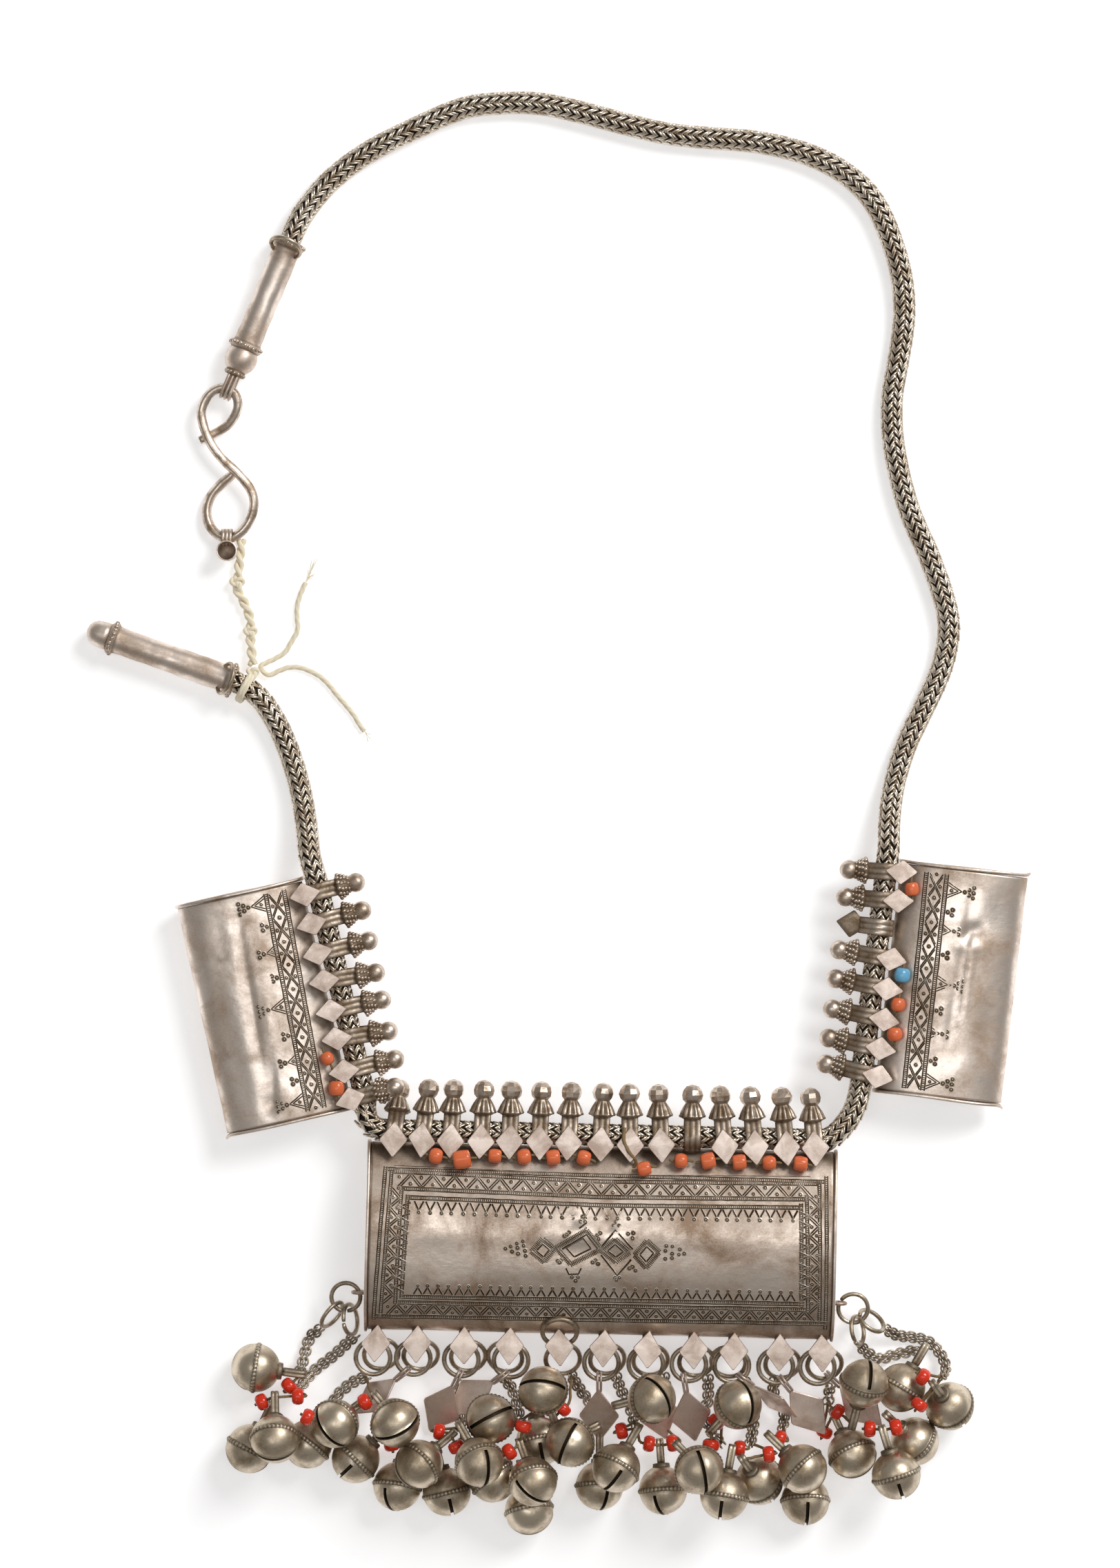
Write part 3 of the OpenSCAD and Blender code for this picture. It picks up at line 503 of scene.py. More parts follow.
# The chain's dark colour is nearly black: painted shade inside the plait
chain_silver = silver("chain_silver", (0.90, 0.81, 0.69), (0.45, 0.35, 0.25), (0.016, 0.010, 0.006), 0.32,
                      220, 0.24, 0.2)
bell_silver = silver("bell_silver", (0.72, 0.62, 0.485), (0.33, 0.255, 0.17), DIRT_AND_SHADE, 0.45, 110, 0.26, 1.2)
ring_silver = silver("ring_silver", (0.63, 0.54, 0.43), (0.25, 0.19, 0.13), DIRT_AND_SHADE, 0.44, 200, 0.22, 0.5)
groove_silver = silver("groove_silver", (0.76, 0.65, 0.54), (0.38, 0.27, 0.18), DIRT_AND_SHADE, 0.38, 200, 0.27, 0.2)


def coat(tree, shader, colour, height, strength, rough):
    """Gives a shader its colour, a small bump and a roughness."""
    bump = add_node(tree, "ShaderNodeBump", {"Strength": strength, "Distance": 0.0001, "Height": height})
    tree.links.new(colour, shader.inputs["Base Color"])
    tree.links.new(bump.outputs[0], shader.inputs["Normal"])
    shader.inputs["Roughness"].default_value = rough


def stony(name, colour, deep_colour, patch=700.0, rough=0.22):
    material, tree, shader = new_material(name)
    cloud = speckle(tree, here(tree), patch, 4.0)
    clean = blend(tree, cloud, colour, deep_colour)
    # Recessed points, round the drilled ends, turn brown: dirt and painted shade in the holes
    coat(tree, shader, blend(tree, recessed(tree), clean, (0.12, 0.05, 0.02)), cloud, 0.2, rough)
    return material


def spun_fibre(name, light, dark, patch):
    material, tree, shader = new_material(name)
    fuzz = speckle(tree, here(tree), patch, 6.0, 0.7)
    # Noise and the recess number darken it: an uneven tone, and painted shade in the valleys between plies
    share = add_node(tree, "ShaderNodeMath", {0: fuzz, 1: 0.55, 2: recessed(tree)},
        operation="MULTIPLY_ADD", use_clamp=True)
    coat(tree, shader, blend(tree, share.outputs[0], light, dark), fuzz, 0.5, 0.85)
    return material


coral = stony("polished_coral", (0.80, 0.13, 0.035), (0.78, 0.21, 0.085))
blue_bead = stony("blue_bead", (0.10, 0.36, 0.60), (0.20, 0.50, 0.72))
red_glass = stony("red_glass", (0.82, 0.030, 0.010), (0.66, 0.045, 0.014), 400, 0.16)
cotton = spun_fibre("cotton", (1.0, 0.94, 0.77), (0.78, 0.66, 0.45), 2400)
brown_thread = spun_fibre("brown_thread", (0.33, 0.22, 0.10), (0.10, 0.065, 0.035), 2600)
floor_white, tree, shader = new_material("floor_white")
tint = blend(tree, speckle(tree, None, 900.0), (0.87, 0.87, 0.88), (0.9, 0.9, 0.905))
for label in ("Base Color", "Emission Color"):
    tree.links.new(tint, shader.inputs[label])
shader.inputs["Emission Strength"].default_value = 0.5
shader.inputs["Roughness"].default_value = 0.9
floor_mesh.materials.append(floor_white)
print(len(bpy.data.materials), "materials")

# %% [markdown]
# The plaited chain is made of folded loops pushed through each other. What shows is six columns of small
# chevrons, each of two wires. One step of the plait is modelled once: six chevrons round a core. The core
# is near black, and the wires darken where they dip towards it: painted shade for the hollow inside of the
# plait. The link tree then sets that step down about 260 times along the chain's course.

# %% The cases' own frames and the chain's route
# Place and turn of each case, half width and half thickness of its tube, where the tube starts and ends,
# how far it lies from the chain, and how far the balls of its loops stand out
CASES = {
    "centre": dict(x=11.4, y=-93.4, turn=-1.3, half_w=27.2, half_t=9.5, first=-66.7, last=66.8, edge=3.6,
                   reach=12.1),
    "left": dict(x=-63.9, y=-54.0, turn=-77.5, half_w=18.5, half_t=7.5, first=-35.6, last=31.0, edge=4.3,
                 reach=10.9),
    "right": dict(x=90.0, y=-45.2, turn=83.2, half_w=18.5, half_t=7.5, first=-34.6, last=31.0, edge=4.3,
                  reach=10.7)}
PLATE_RIM, CHAIN_R = 0.7, 3.2
HOLE_R, STRAP_T = CHAIN_R + 0.3, 0.7
for case in CASES.values():
    case["mid_z"] = case["half_t"] + PLATE_RIM / 2
    case["row_z"] = case["mid_z"] + 3
    case["at"] = place(case["x"], case["y"], 0, case["turn"])


def on_row(name, u, v=0.0, z=0.0):
    case = CASES[name]
    return (case["at"] @ Vector((u, v, case["row_z"] + z)))[:]


chain_route = [
    (-80.5, 163.5, 5), (-78.6, 168, 5), (-75.6, 174, 4.4), (-68, 183.4, 3.4), (-57, 191.8, 3.2),
    (-43.4, 198.8, 3.2), (-29.6, 204.6, 3.2), (-18, 206.2, 3.2), (-6.5, 206, 3.2), (5, 203.6, 3.2),
    (16.4, 200.6, 3.2), (30, 197.4, 3.2), (43.6, 196, 3.2), (57.2, 194.8, 3.2), (71, 191.4, 3.2),
    (82, 185.8, 3.2), (90, 178, 3.2), (95.2, 167.2, 3.2), (98.4, 155.8, 3.2), (99.2, 144.4, 3.2),
    (97.8, 133, 3.2), (95.8, 121.6, 3.2), (95.8, 110.2, 3.2), (97.8, 98, 3.2), (101.2, 86.4, 3.2),
    (106.2, 75, 3.2), (110.6, 62.6, 3.2), (112.2, 53.2, 3.2), (110.2, 42.2, 3.2), (105.2, 30.8, 3.2),
    (99.8, 19.4, 3.4), (96.2, 8, 4.6), (94.6, -2, 7.6), (94.2, -9, 10.2)]
chain_route += [on_row("right", u) for u in (31.6, 16, 0, -16, -33)]
chain_route += [(84.8, -84.4, 11.6), (82, -89.6, 12.2), (78.2, -93.6, 12.8)]
chain_route += [on_row("centre", u) for u in (63.6, 48, 32, 16, 0, -16, -32, -48, -63.6)]
chain_route += [(-55.8, -90.6, 12.4), (-57.4, -87.6, 11.6)]
chain_route += [on_row("left", u) for u in (31.2, 16, 0, -16, -34.4)]
chain_route += [(-73.4, -13.6, 9.6), (-74.8, -3, 5.6), (-77.2, 9, 3.4), (-81.4, 21.4, 3.2),
                (-86.4, 30.6, 3.6), (-90.6, 35, 4.9), (-94.2, 37.2, 5), (-97.4, 38.4, 5)]

chain_path, _ = even(smooth(chain_route, 6), 1.0)
for _ in range(6):
    chain_path[1:-1] = 0.25 * chain_path[:-2] + 0.5 * chain_path[1:-1] + 0.25 * chain_path[2:]
chain_length = np.linalg.norm(np.diff(chain_path, axis=0), axis=1).sum()
print("the plaited chain is", round(chain_length), "mm long")

# %% One step of the plait, and the whole chain
PITCH, COLUMNS, WIRE_R, CORE_R = 2.85, 6, 0.37, 2.5
half_column = math.pi / COLUMNS
# Leg, shoulder, apex, shoulder, leg: angle in half columns, radius and place along the chain
BEND = [(-1.06, 2.62, -1.55), (-0.55, 2.88, -0.45), (0.0, 2.92, 0.95), (0.55, 2.88, -0.45),
        (1.06, 2.62, -1.55)]
step = Bench()
for column in range(COLUMNS):
    middle, lag = 2 * half_column * column, 0.5 * PITCH * (column % 2)
    for wire in (0.0, 0.94):
        turned = [(middle + a * half_column, r, z + lag + wire) for a, r, z in BEND]
        points, faces = tube([(r * math.cos(t), r * math.sin(t), z) for t, r, z in turned], WIRE_R, 5)
        # Points that dip inside the legs get a recess, which darkens them: painted shade between the wires
        depth = np.clip((BEND[0][1] - np.hypot(points[:, 0], points[:, 1])) / 0.4, 0, 1)
        step.add(points, faces, depth)
plait = link_up("rope_chain_plait", step, [chain_path], PITCH, 0.0, chain_silver)
finish(plait, chain_silver, "silver", "rope_chain")
# A near-black core fills the plait's inside: painted shade
painted_shade_core = Bench()
painted_shade_core.add(*tube(chain_path, CORE_R, 10), 1.0)
finish((painted_shade_core, "rope_chain_core"), chain_silver, "silver")

# %% [markdown]
# A tube of an amulet case is thin sheet, and a hundred years of wear show in its long dents and creases.
# The oval section gives each point a place and a direction outward, and a short list of dents pushes it
# in or out. The chased lines use the same function, so they follow every dent.

# %% Dents of the three tubes
# Columns: place along the tube, distance from the edge by the chain, half length, half width, turn, depth
DENTS = {
    "centre": [(-8, 20.5, 2.6, 2.0, 0, -0.55), (2.4, 21.5, 2.2, 2.0, 0, -0.5),
               (-6.5, 29.5, 5.5, 3.6, -8, -0.5), (16.5, 21.8, 5, 3.2, 0, 0.25),
               (-17, 28, 4.5, 4.0, 20, -0.3), (4.5, 31, 3.5, 3.0, 0, -0.4), (0, 25, 70, 3.4, 0, 0.30),
               (-30, 12, 26, 2.6, -3, -0.22), (36, 17, 20, 4.0, 4, -0.3), (-46, 33, 9, 8, 15, -0.35),
               (46, 38, 14, 6, -8, -0.3), (14, 42, 28, 3.0, 2, -0.2), (-20, 8, 20, 2.4, 0, -0.2)],
    "left": [(-6, 21.5, 26, 1.7, 3, -0.75), (4, 17.4, 18, 1.6, 6, 0.4), (18, 20, 10, 1.8, 12, -0.6),
             (-24, 26, 9, 3, 0, -0.35), (10, 30, 22, 3.2, -2, -0.3), (26, 22, 3, 2.6, 0, -0.6),
             (-14, 32, 12, 2.2, 0, 0.2)],
    "right": [(13.5, 22.5, 3.2, 2.4, 30, -1.0), (9.5, 21, 2.0, 3.6, 0, 0.45), (6, 20.5, 22, 1.8, 2, -0.5),
              (-14, 19.5, 14, 2.2, -4, -0.45), (2, 22.5, 12, 1.3, 0, 0.4), (-12, 30, 12, 3, 0, -0.3),
              (20, 29, 7, 4, 0, -0.25), (-26, 20, 5, 2.6, 0, 0.3)]}


def surface(name, u, a, lift=0.0):
    """Points and outward directions on a tube. u runs along it, and a is the angle in degrees from its
    edge by the chain, up over the top."""
    case = CASES[name]
    u, a = np.broadcast_arrays(np.asarray(u, float), np.radians(np.asarray(a, float)))
    w, t = case["half_w"], case["half_t"]
    out = np.stack([0 * u, np.cos(a) / w, np.sin(a) / t], -1)
    out /= np.linalg.norm(out, axis=-1)[..., None]
    d = w * (1 - np.cos(a))
    push = np.zeros(u.shape)
    for du, dd, long, wide, turn, depth in DENTS[name]:
        c, s = math.cos(math.radians(turn)), math.sin(math.radians(turn))
        x, y = (u - du) * c + (d - dd) * s, (d - dd) * c - (u - du) * s
        push += depth * np.exp(-(x / long) ** 2 - (y / wide) ** 2) * (np.sin(a) > 0)
        push += 0.5 * depth * np.exp(-((x + 9) / long) ** 2 - (y / wide) ** 2) * (np.sin(a) < 0)
    push += 0.10 * np.sin(0.21 * u + 2 * a) * np.sin(0.13 * u - 3 * a + 1.3)
    fade = np.clip(np.minimum(u - case["first"], case["last"] - u) / 5, 0.0, 1)
    place_on = np.stack([u, w * np.cos(a) - (case["edge"] + w), t * np.sin(a) + case["mid_z"]], -1)
    return place_on + out * (push * fade + lift)[..., None], out


def over(name, d):
    """Degrees round the tube at a distance d across it, seen from above."""
    w = CASES[name]["half_w"]
    return np.degrees(np.arccos(np.clip(1 - np.asarray(d, float) / w, -1, 1)))


# %% The three tubes
# Rings of olive stain: place along the tube, distance from the edge by the chain, radius
STAINS = {"centre": [(-52, 39, 2.5)], "left": [(-20, 27, 1.8), (8, 31, 1.2)],
          "right": [(-4.3, 30.3, 2.6), (-1.5, 33.5, 1.2), (-7, 26.5, 1.0)]}
# Degrees round a tube at which its points lie, closer together over the top
TUBE_ANGLES = np.r_[np.linspace(0, 180, 81), np.linspace(180, 360, 33)[1:-1]]


def tube_of(name, rows):
    case, a = CASES[name], TUBE_ANGLES
    far = case["half_w"] * (1 - np.cos(np.radians(a)))
    near_chain = np.exp(-(far / (4.6 if name == "centre" else 3.4)) ** 2)
    # The underside of the tube is darkened: painted shade
    painted_shade_below = np.clip((np.radians(a) - math.pi) * 2, 0, 0.55) * (a < 355)
    rings, depth = [], []
    for u in np.linspace(case["first"], case["last"], rows):
        rings.append(surface(name, np.full(len(a), u), a)[0])
        speck = np.array([noise.noise((u * 0.35, t * 0.06, 3.1)) for t in a])
        end = min(u - case["first"], case["last"] - u)
        stain = np.zeros(len(a))
        for su, sd, r in STAINS[name]:
            off = np.hypot(u - su, 1.2 * (far - sd)) - r
            stain += 0.34 * np.exp(-(off / 0.9) ** 2) * (a < 180) * (0.6 + speck)
        # Ochre dirt by the chain and the stains are real; the underside gets painted shade, and the colour
        # grows darker towards both ends
        dirt_and_shade = near_chain * (0.62 + 0.5 * speck) + 0.3 * painted_shade_below + 0.22 * math.exp(-end / 2.0) + stain
        depth.append(np.clip(dirt_and_shade, 0, 0.9))
    made = Bench()
    made.add(*loft(rings), np.concatenate(depth), case["at"])
    return made


for name, rows, metal in (("centre", 190, case_silver), ("left", 110, tube_silver),
                          ("right", 110, tube_silver)):
    finish((tube_of(name, rows), name + "_case_tube"), metal, "silver", name + "_case")

# %% [markdown]
# The pattern is chased: a blunt tool is tapped along a line and pushes the metal aside. Each stroke is a
# narrow strip laid on the tube, low in the middle with a raised burr on both sides. Its middle takes the
# darkest colour: the tarnish that old grooves hold, and painted shade that makes the shallow strip read as
# a groove. Ring marks come from a hollow punch and repeat by the hundred, so the first tree sets them out.

# %% Strokes and punch marks
strokes = Bench()
marks = []


def stroke(name, points, width=0.3, finer=1.6):
    points = np.asarray(points, float)
    path = [points[0]]
    for p, q in zip(points[:-1], points[1:]):
        n = max(1, int(np.linalg.norm(q - p) / finer))
        path += [p + (q - p) * (i + 1) / n for i in range(n)]
    path = np.array(path)
    path[1:-1] += np.array([rng.uniform(-0.05, 0.05) for _ in range(2 * len(path) - 4)]).reshape(-1, 2)
    at, out = surface(name, path[:, 0], over(name, path[:, 1]))
    along = np.gradient(at, axis=0)
    across = np.cross(along, out)
    across /= np.linalg.norm(across, axis=1)[:, None]
    rows = [at + across * (width * s) + out * h
            for s, h in ((-1, -0.03), (-0.8, 0.07), (-0.42, 0.025), (0.42, 0.025), (0.8, 0.07), (1, -0.03))]
    n = len(path)
    faces = [(k * n + i, k * n + i + 1, (k + 1) * n + i + 1, (k + 1) * n + i) for k in range(5)
             for i in range(n - 1)]
    # The middle rows are darkest: tarnish, and painted shade of the groove
    depth = np.repeat([0.1, 0.15, 1.0, 1.0, 0.15, 0.1], n)
    strokes.add(np.concatenate(rows), [f[::-1] for f in faces], depth, CASES[name]["at"])


def punch(name, u, d, r=0.62):
    at, out = surface(name, np.array([u]), over(name, [d]), 0.02)
    turn = Vector(out[0]).to_track_quat("Z", "Y").to_matrix().to_4x4()
    marks.append((CASES[name]["at"] @ Matrix.Translation(at[0]) @ turn, 1.12 * r * rng.uniform(0.88, 1.1)))


def course(start, end):
    """Both ends of a straight course, its directions along and across, and its length."""
    start, end = np.array(start, float), np.array(end, float)
    length = np.linalg.norm(end - start)
    along = (end - start) / length
    return start, end, along, np.array([-along[1], along[0]]), length


def ticked(name, start, end, gap=0.95, pitch=0.58):
    """Two lines with short ticks between them."""
    start, end, along, across, length = course(start, end)
    aside = across * gap / 2
    stroke(name, [start + aside, end + aside], 0.26)
    stroke(name, [start - aside, end - aside], 0.26)
    for s in np.arange(pitch / 2, length, pitch):
        p = start + along * (s + rng.uniform(-0.08, 0.08))
        stroke(name, [p - 0.8 * aside, p + 0.8 * aside], 0.2)


def zigzag(name, start, end, height=3.6, pitch=6.4):
    """Double slanting lines that cross, with a ring mark in each triangle."""
    start, _, along, across, length = course(start, end)
    aside = across * height / 2
    count = max(1, round(length / pitch))
    pitch = length / count
    for i in range(2 * count):
        p = start + along * pitch * (i / 2 + rng.uniform(-0.03, 0.03))
        sign = 1 if i % 2 else -1
        run = along * pitch * 0.5
        for shift in (-0.42, 0.42):
            q = p + along * (shift + pitch / 4)
            stroke(name, [q - sign * aside - 0.5 * run, q + sign * aside + 0.5 * run], 0.28)
        dot = p + aside * 0.5 * sign
        punch(name, dot[0], dot[1], 0.56)


def chevrons(name, start, end, reach, pitch=3.2, tip=0.55):
    """A row of small points, each with a ring mark at its tip. reach is signed, across the row."""
    start, _, along, across, length = course(start, end)
    count = max(1, round(length / pitch))
    half = along * length / count * 0.42
    for i in range(count):
        p = start + along * length * (i + 0.5 + rng.uniform(-0.08, 0.08)) / count
        for foot in (p - half, p + half):
            stroke(name, [foot, p + across * reach * 0.82], 0.36)
        punch(name, *(p + across * reach), tip)


# %% The frame of bands on the centre tube
ticked("centre", (-62.2, 7.4), (64.2, 8.2), 0.8)
stroke("centre", [(-60, 6.3), (0, 7.6), (60, 6.8)], 0.14)
for a, b, gap in (((-60, 8.0), (0, 9.5), 0.85), ((0, 9.5), (62, 8.8), 0.85), ((-57, 12.7), (0, 13.9), 0.9),
                  ((0, 13.9), (59, 13.2), 0.9), ((-56, 15.2), (0, 16.2), 0.9),
                  ((0, 16.2), (58, 15.6), 0.9)):
    ticked("centre", a, b, gap)
zigzag("centre", (-58.5, 10.4), (0, 11.7))
zigzag("centre", (0, 11.7), (60.5, 11.0))
chevrons("centre", (-54, 16.2), (0, 16.9), 3.2)
chevrons("centre", (0, 16.9), (56.5, 16.4), 3.0)
for a, b in (((-64.3, 49.9), (66, 49.2)), ((-58, 45.6), (59.5, 45.1)), ((-57, 43.9), (59, 43.4))):
    ticked("centre", a, b)
zigzag("centre", (-61, 47.7), (62, 47.1), 3.0, 5.4)
chevrons("centre", (56.5, 42.7), (-54, 43.2), 2.6, 3.0, 0.5)
for u0, u1, top, bottom in ((-62.4, -65.0, 6.6, 51), (-60.6, -63.0, 8, 50), (-57.6, -58.8, 12, 46),
                            (-55.8, -57.0, 14.4, 44.4), (64.6, 65.4, 6.6, 51), (62.6, 63.6, 8, 50),
                            (59.0, 60.2, 12, 46), (57.4, 58.2, 14.4, 44.4)):
    ticked("centre", (u0, top), (u1, bottom), 0.8)
zigzag("centre", (-59.2, 12.5), (-61.0, 46), 2.9, 5.6)
zigzag("centre", (61.0, 12.5), (62.0, 46), 2.9, 5.6)
chevrons("centre", (-56.4, 43), (-54.9, 16.5), -3.4, 2.9, 0.5)
chevrons("centre", (56.8, 16.5), (57.4, 43), -3.2, 2.9, 0.5)
print("bands of the centre tube:", len(strokes.faces), "faces")

# %% [markdown]
# The motif in the middle was chased by hand, so its lines and marks are given one by one, on squares of
# 0.43 mm. A serrated side is a line with short teeth across it.

# %% The lozenge motif
def chart(x, y):
    return (-34.1 + 0.434 * x, 16.4 + 0.424 * y - 0.0098 * x)


def serrated(a, b, teeth=0.5):
    a, b, along, across, length = course(chart(*a), chart(*b))
    stroke("centre", [a, b], 0.34)
    for s in np.arange(0.3, length, teeth):
        stroke("centre", [a + along * s - across * 0.75, a + along * s + across * 0.75], 0.22)


for corners in ([(32.5, 32.5), (40, 24), (48, 31), (41.5, 40)], [(49, 30), (69, 18), (79, 31), (59, 41.5)],
                [(79, 32), (88, 24), (98, 33), (89, 40)], [(101, 35), (109, 25), (117.5, 33), (109, 44)]):
    for a, b in zip(corners, corners[1:] + corners[:1]):
        serrated(a, b)
    middle = np.mean(corners, 0)
    inner = [middle + 0.55 * (np.array(c) - middle) for c in corners]
    for a, b in zip(inner, inner[1:] + inner[:1]):
        stroke("centre", [chart(*a), chart(*b)], 0.3)
for path in ([(79, 35), (90, 49), (99, 38)], [(78, 31), (88, 18), (100, 31)],
             [(53, 31), (69, 21), (77, 31)], [(56, 44), (58, 48), (64, 48), (66, 44)], [(64, 17), (69, 13)],
             [(69, 17), (65, 13)]):
    stroke("centre", [chart(*p) for p in path], 0.36)
for x, y in ((15.5, 30.5), (19, 29), (23, 27), (27, 25.5), (27.5, 28.5), (23.5, 30), (20, 32.5), (24, 34),
             (28.5, 32), (29, 35.5), (122, 28.5), (126, 29), (131, 31), (121.5, 32), (126, 34),
             (130.5, 34.5), (134, 34), (121.5, 37.5), (126, 37), (56, 21), (57.5, 19.5), (54.5, 22),
             (78, 20), (77, 24), (76, 21.5), (96.5, 20.5), (100, 20), (99.5, 23.5), (50.5, 39),
             (52.5, 38.5), (51.5, 40), (73.5, 40), (75.5, 38.5), (77, 41), (98, 44), (100, 43), (102, 45.5),
             (89.5, 52), (88.5, 50.5), (91.5, 50.5), (88.5, 12.5), (87, 15), (90.5, 15), (60, 50),
             (62.5, 52.5), (64, 50), (65, 12.5), (68, 12.5), (66.5, 9)):
    punch("centre", *chart(x, y), 0.58)

# %% The band and its pendant triangles on the side tubes
def triangle(name, u, d, wide, high):
    for inset in (0.0, 0.8):
        tip = (u, d + high - 1.3 * inset)
        for side in (-1, 1):
            stroke(name, [(u + side * (wide / 2 - inset), d), tip], 0.22)
    punch(name, u, d + 0.28 * high, 0.5)


def cluster(name, u, d, rows):
    for row in range(rows):
        for k in range(rows - row):
            punch(name, u + (k - (rows - row - 1) / 2) * 1.5, d + (rows - 1 - row) * 1.3, 0.62)


def crossed(name, start, end, height, count):
    """Crossed pairs of lines, with ring marks above, below and between them."""
    start, _, along, across, length = course(start, end)
    pitch, aside = length / count, across * height / 2
    for i in range(count):
        p = start + along * pitch * (i + 0.5 + rng.uniform(-0.04, 0.04))
        for lean in (-1, 1):
            for shift in (-0.4, 0.4):
                q, run = p + along * shift, along * pitch * 0.46 * lean
                stroke(name, [q - aside - run, q + aside + run], 0.26)
        for dot in (p + 0.72 * aside, p - 0.72 * aside, p + 0.5 * along * pitch):
            punch(name, dot[0], dot[1], 0.55)


# Columns: the band's two ends along the tube, its near and its far line at both ends, then the places of
# big triangles, of small triangles and of dots
SIDE_BANDS = {
    "left": (-34.4, 29.6, (5.4, 7.5), (10.7, 12.3), (-31.6, -1.5, 26.4), (-17.5, 14.5), (-25, -10, 7, 20.2)),
    "right": (-33.4, 29.4, (8.0, 7.2), (13.3, 13.0), (-30.6, -2.2, 24.9), (-16.5, 13.3),
              (-24.6, -10, 6.2, 18.6))}
for name, (first, last, near, far, big, small, dots) in SIDE_BANDS.items():
    def far_line(u):
        return far[0] + (far[1] - far[0]) * (u - first) / (last - first)

    ticked(name, (first, near[0]), (last, near[1]), 1.0)
    ticked(name, (first, far[0]), (last, far[1]), 1.0)
    middle = (near[0] + far[0]) / 2, (near[1] + far[1]) / 2
    crossed(name, (first + 0.4, middle[0]), (last - 0.4, middle[1]), 3.6, 9)
    for at_u, wide, high, rows in [(u, 4.6, 4.2, 3) for u in big] + [(u, 3.0, 2.4, 2) for u in small]:
        triangle(name, at_u, far_line(at_u) + 0.6, wide, high)
        cluster(name, at_u, far_line(at_u) + high + 1.4, rows)
    for at_u in dots:
        cluster(name, at_u, far_line(at_u) + 1.4, 2)
finish((strokes, "chased_lines"), groove_silver, "silver")
dot = Bench()
ring_mark = [(1.25, -0.06), (0.98, 0.07), (0.72, 0.02), (0.5, 0.02), (0.3, 0.08), (0.02, 0.10)]
points, faces = lathe(ring_mark, 9)
# The groove of each ring mark is darkest: tarnish and painted shade
dot.add(points, faces[:-2] + [faces[-1]], np.repeat([0.1, 0.15, 1, 1, 0.35, 0.3], 9))
finish(set_out("punched_rings", dot, marks, groove_silver), groove_silver, "silver")

# %% [markdown]
# Each carrying loop is cast in one piece with its ball: a ribbed strap round the chain, a flared skirt, a
# neck and a ball that a file has left slightly faceted. On the centre case the skirts are fluted. On the
# side cases they are covered in granules. A lozenge plate is soldered on top.

# %% Strap, skirts, balls and lozenges
def ribbed_strap(width=4.8, outline=None, ribs=3, dirt_and_shade=(0.0, 1.0)):
    """A ribbed strip round an outline. Its last argument gives the least recess and how much the furrows
    add, which darkens them with dirt and painted shade.
    """
    outline = stirrup(HOLE_R + STRAP_T, 2.1, 4.5, 7) if outline is None else outline
    n = len(outline)
    along = np.roll(outline, -1, 0) - np.roll(outline, 1, 0)
    out = np.stack([along[:, 1], -along[:, 0]], 1)
    out /= np.linalg.norm(out, axis=1)[:, None]
    x = np.linspace(-width / 2, width / 2, 6 * ribs + 1)
    swell = 0.16 * np.abs(np.sin(np.pi * ribs * (x / width + 0.5))) - 0.16
    ribbed = [(a, h, -h * 4.5) for a, h in zip(x, swell)]
    sections = [(-width / 2, -0.66, 0.6), *ribbed, (width / 2, -0.66, 0.6)]
    rows = [np.c_[np.full(n, a), outline + out * h] for a, h, _ in sections]
    points, faces = loft(rows, True)
    depth = dirt_and_shade[0] + dirt_and_shade[1] * np.repeat([deep for _, _, deep in sections], n)
    return points, [(f[0], *f[:0:-1]) for f in faces], depth


def bar(half_w, low, high, y0, y1):
    """A square bar along y."""
    corners = ((-half_w, low), (half_w, low), (half_w, high), (-half_w, high))
    return loft([[(x, y, z) for x, z in corners] for y in (y0, y1)])


def lozenge(width, length, thick, seed):
    """A plate with filed edges and slightly uneven corners, on its lower face at z 0."""
    luck = random.Random(seed)
    corners = [(-width / 2, luck.uniform(-0.5, 0.5)), (luck.uniform(-0.35, 0.35), -length / 2),
               (width / 2, luck.uniform(-0.5, 0.5)), (luck.uniform(-0.35, 0.35), length / 2)]
    edge = []
    for k in range(4):
        a, b, c = (np.array(corners[(k + s) % 4]) for s in (-1, 0, 1))
        edge += [b + (a - b) * 0.05, b + (c - b) * 0.05, b + (c - b) * 0.5]
    edge = np.array(edge)
    tilt = (luck.uniform(-0.02, 0.02), luck.uniform(-0.02, 0.02))
    rings = []
    for shrink, z in ((0.985, 0), (1, 0.12), (1, thick - 0.2), (0.955, thick), (0.5, thick + 0.05),
                      (0.02, thick + 0.08)):
        p = edge * shrink
        rings.append(np.c_[p, z + (p @ np.array(tilt)) * (z > 0)])
    return loft(rings)


def fluted_skirt(seed):
    phase = random.Random(seed).uniform(0, 6)
    profile = [(1.7, 4.6), (3.3, 5.6), (3.9, 5.75), (4.0, 6.15), (3.75, 6.5), (3.45, 7.3), (3.0, 8.2),
               (2.5, 9.0), (2.05, 9.7), (1.85, 10.2)]
    flute = [0, 0.05, 0.5, 0.7, 1, 1, 0.9, 0.6, 0.2, 0]

    def furrow(a):
        return 1 - abs(math.sin(6 * a + phase))

    points, faces = lathe(profile, 60, lambda a, row, r: r * (1 - 0.24 * flute[row] * furrow(a)))
    depth = [min(1, 0.1 + 1.1 * flute[row] * furrow(a) ** 1.3 + 0.35 * (row > 6) + 0.5 * (row < 2))
             for row in range(len(profile)) for a in around(60)]
    return points, faces, depth


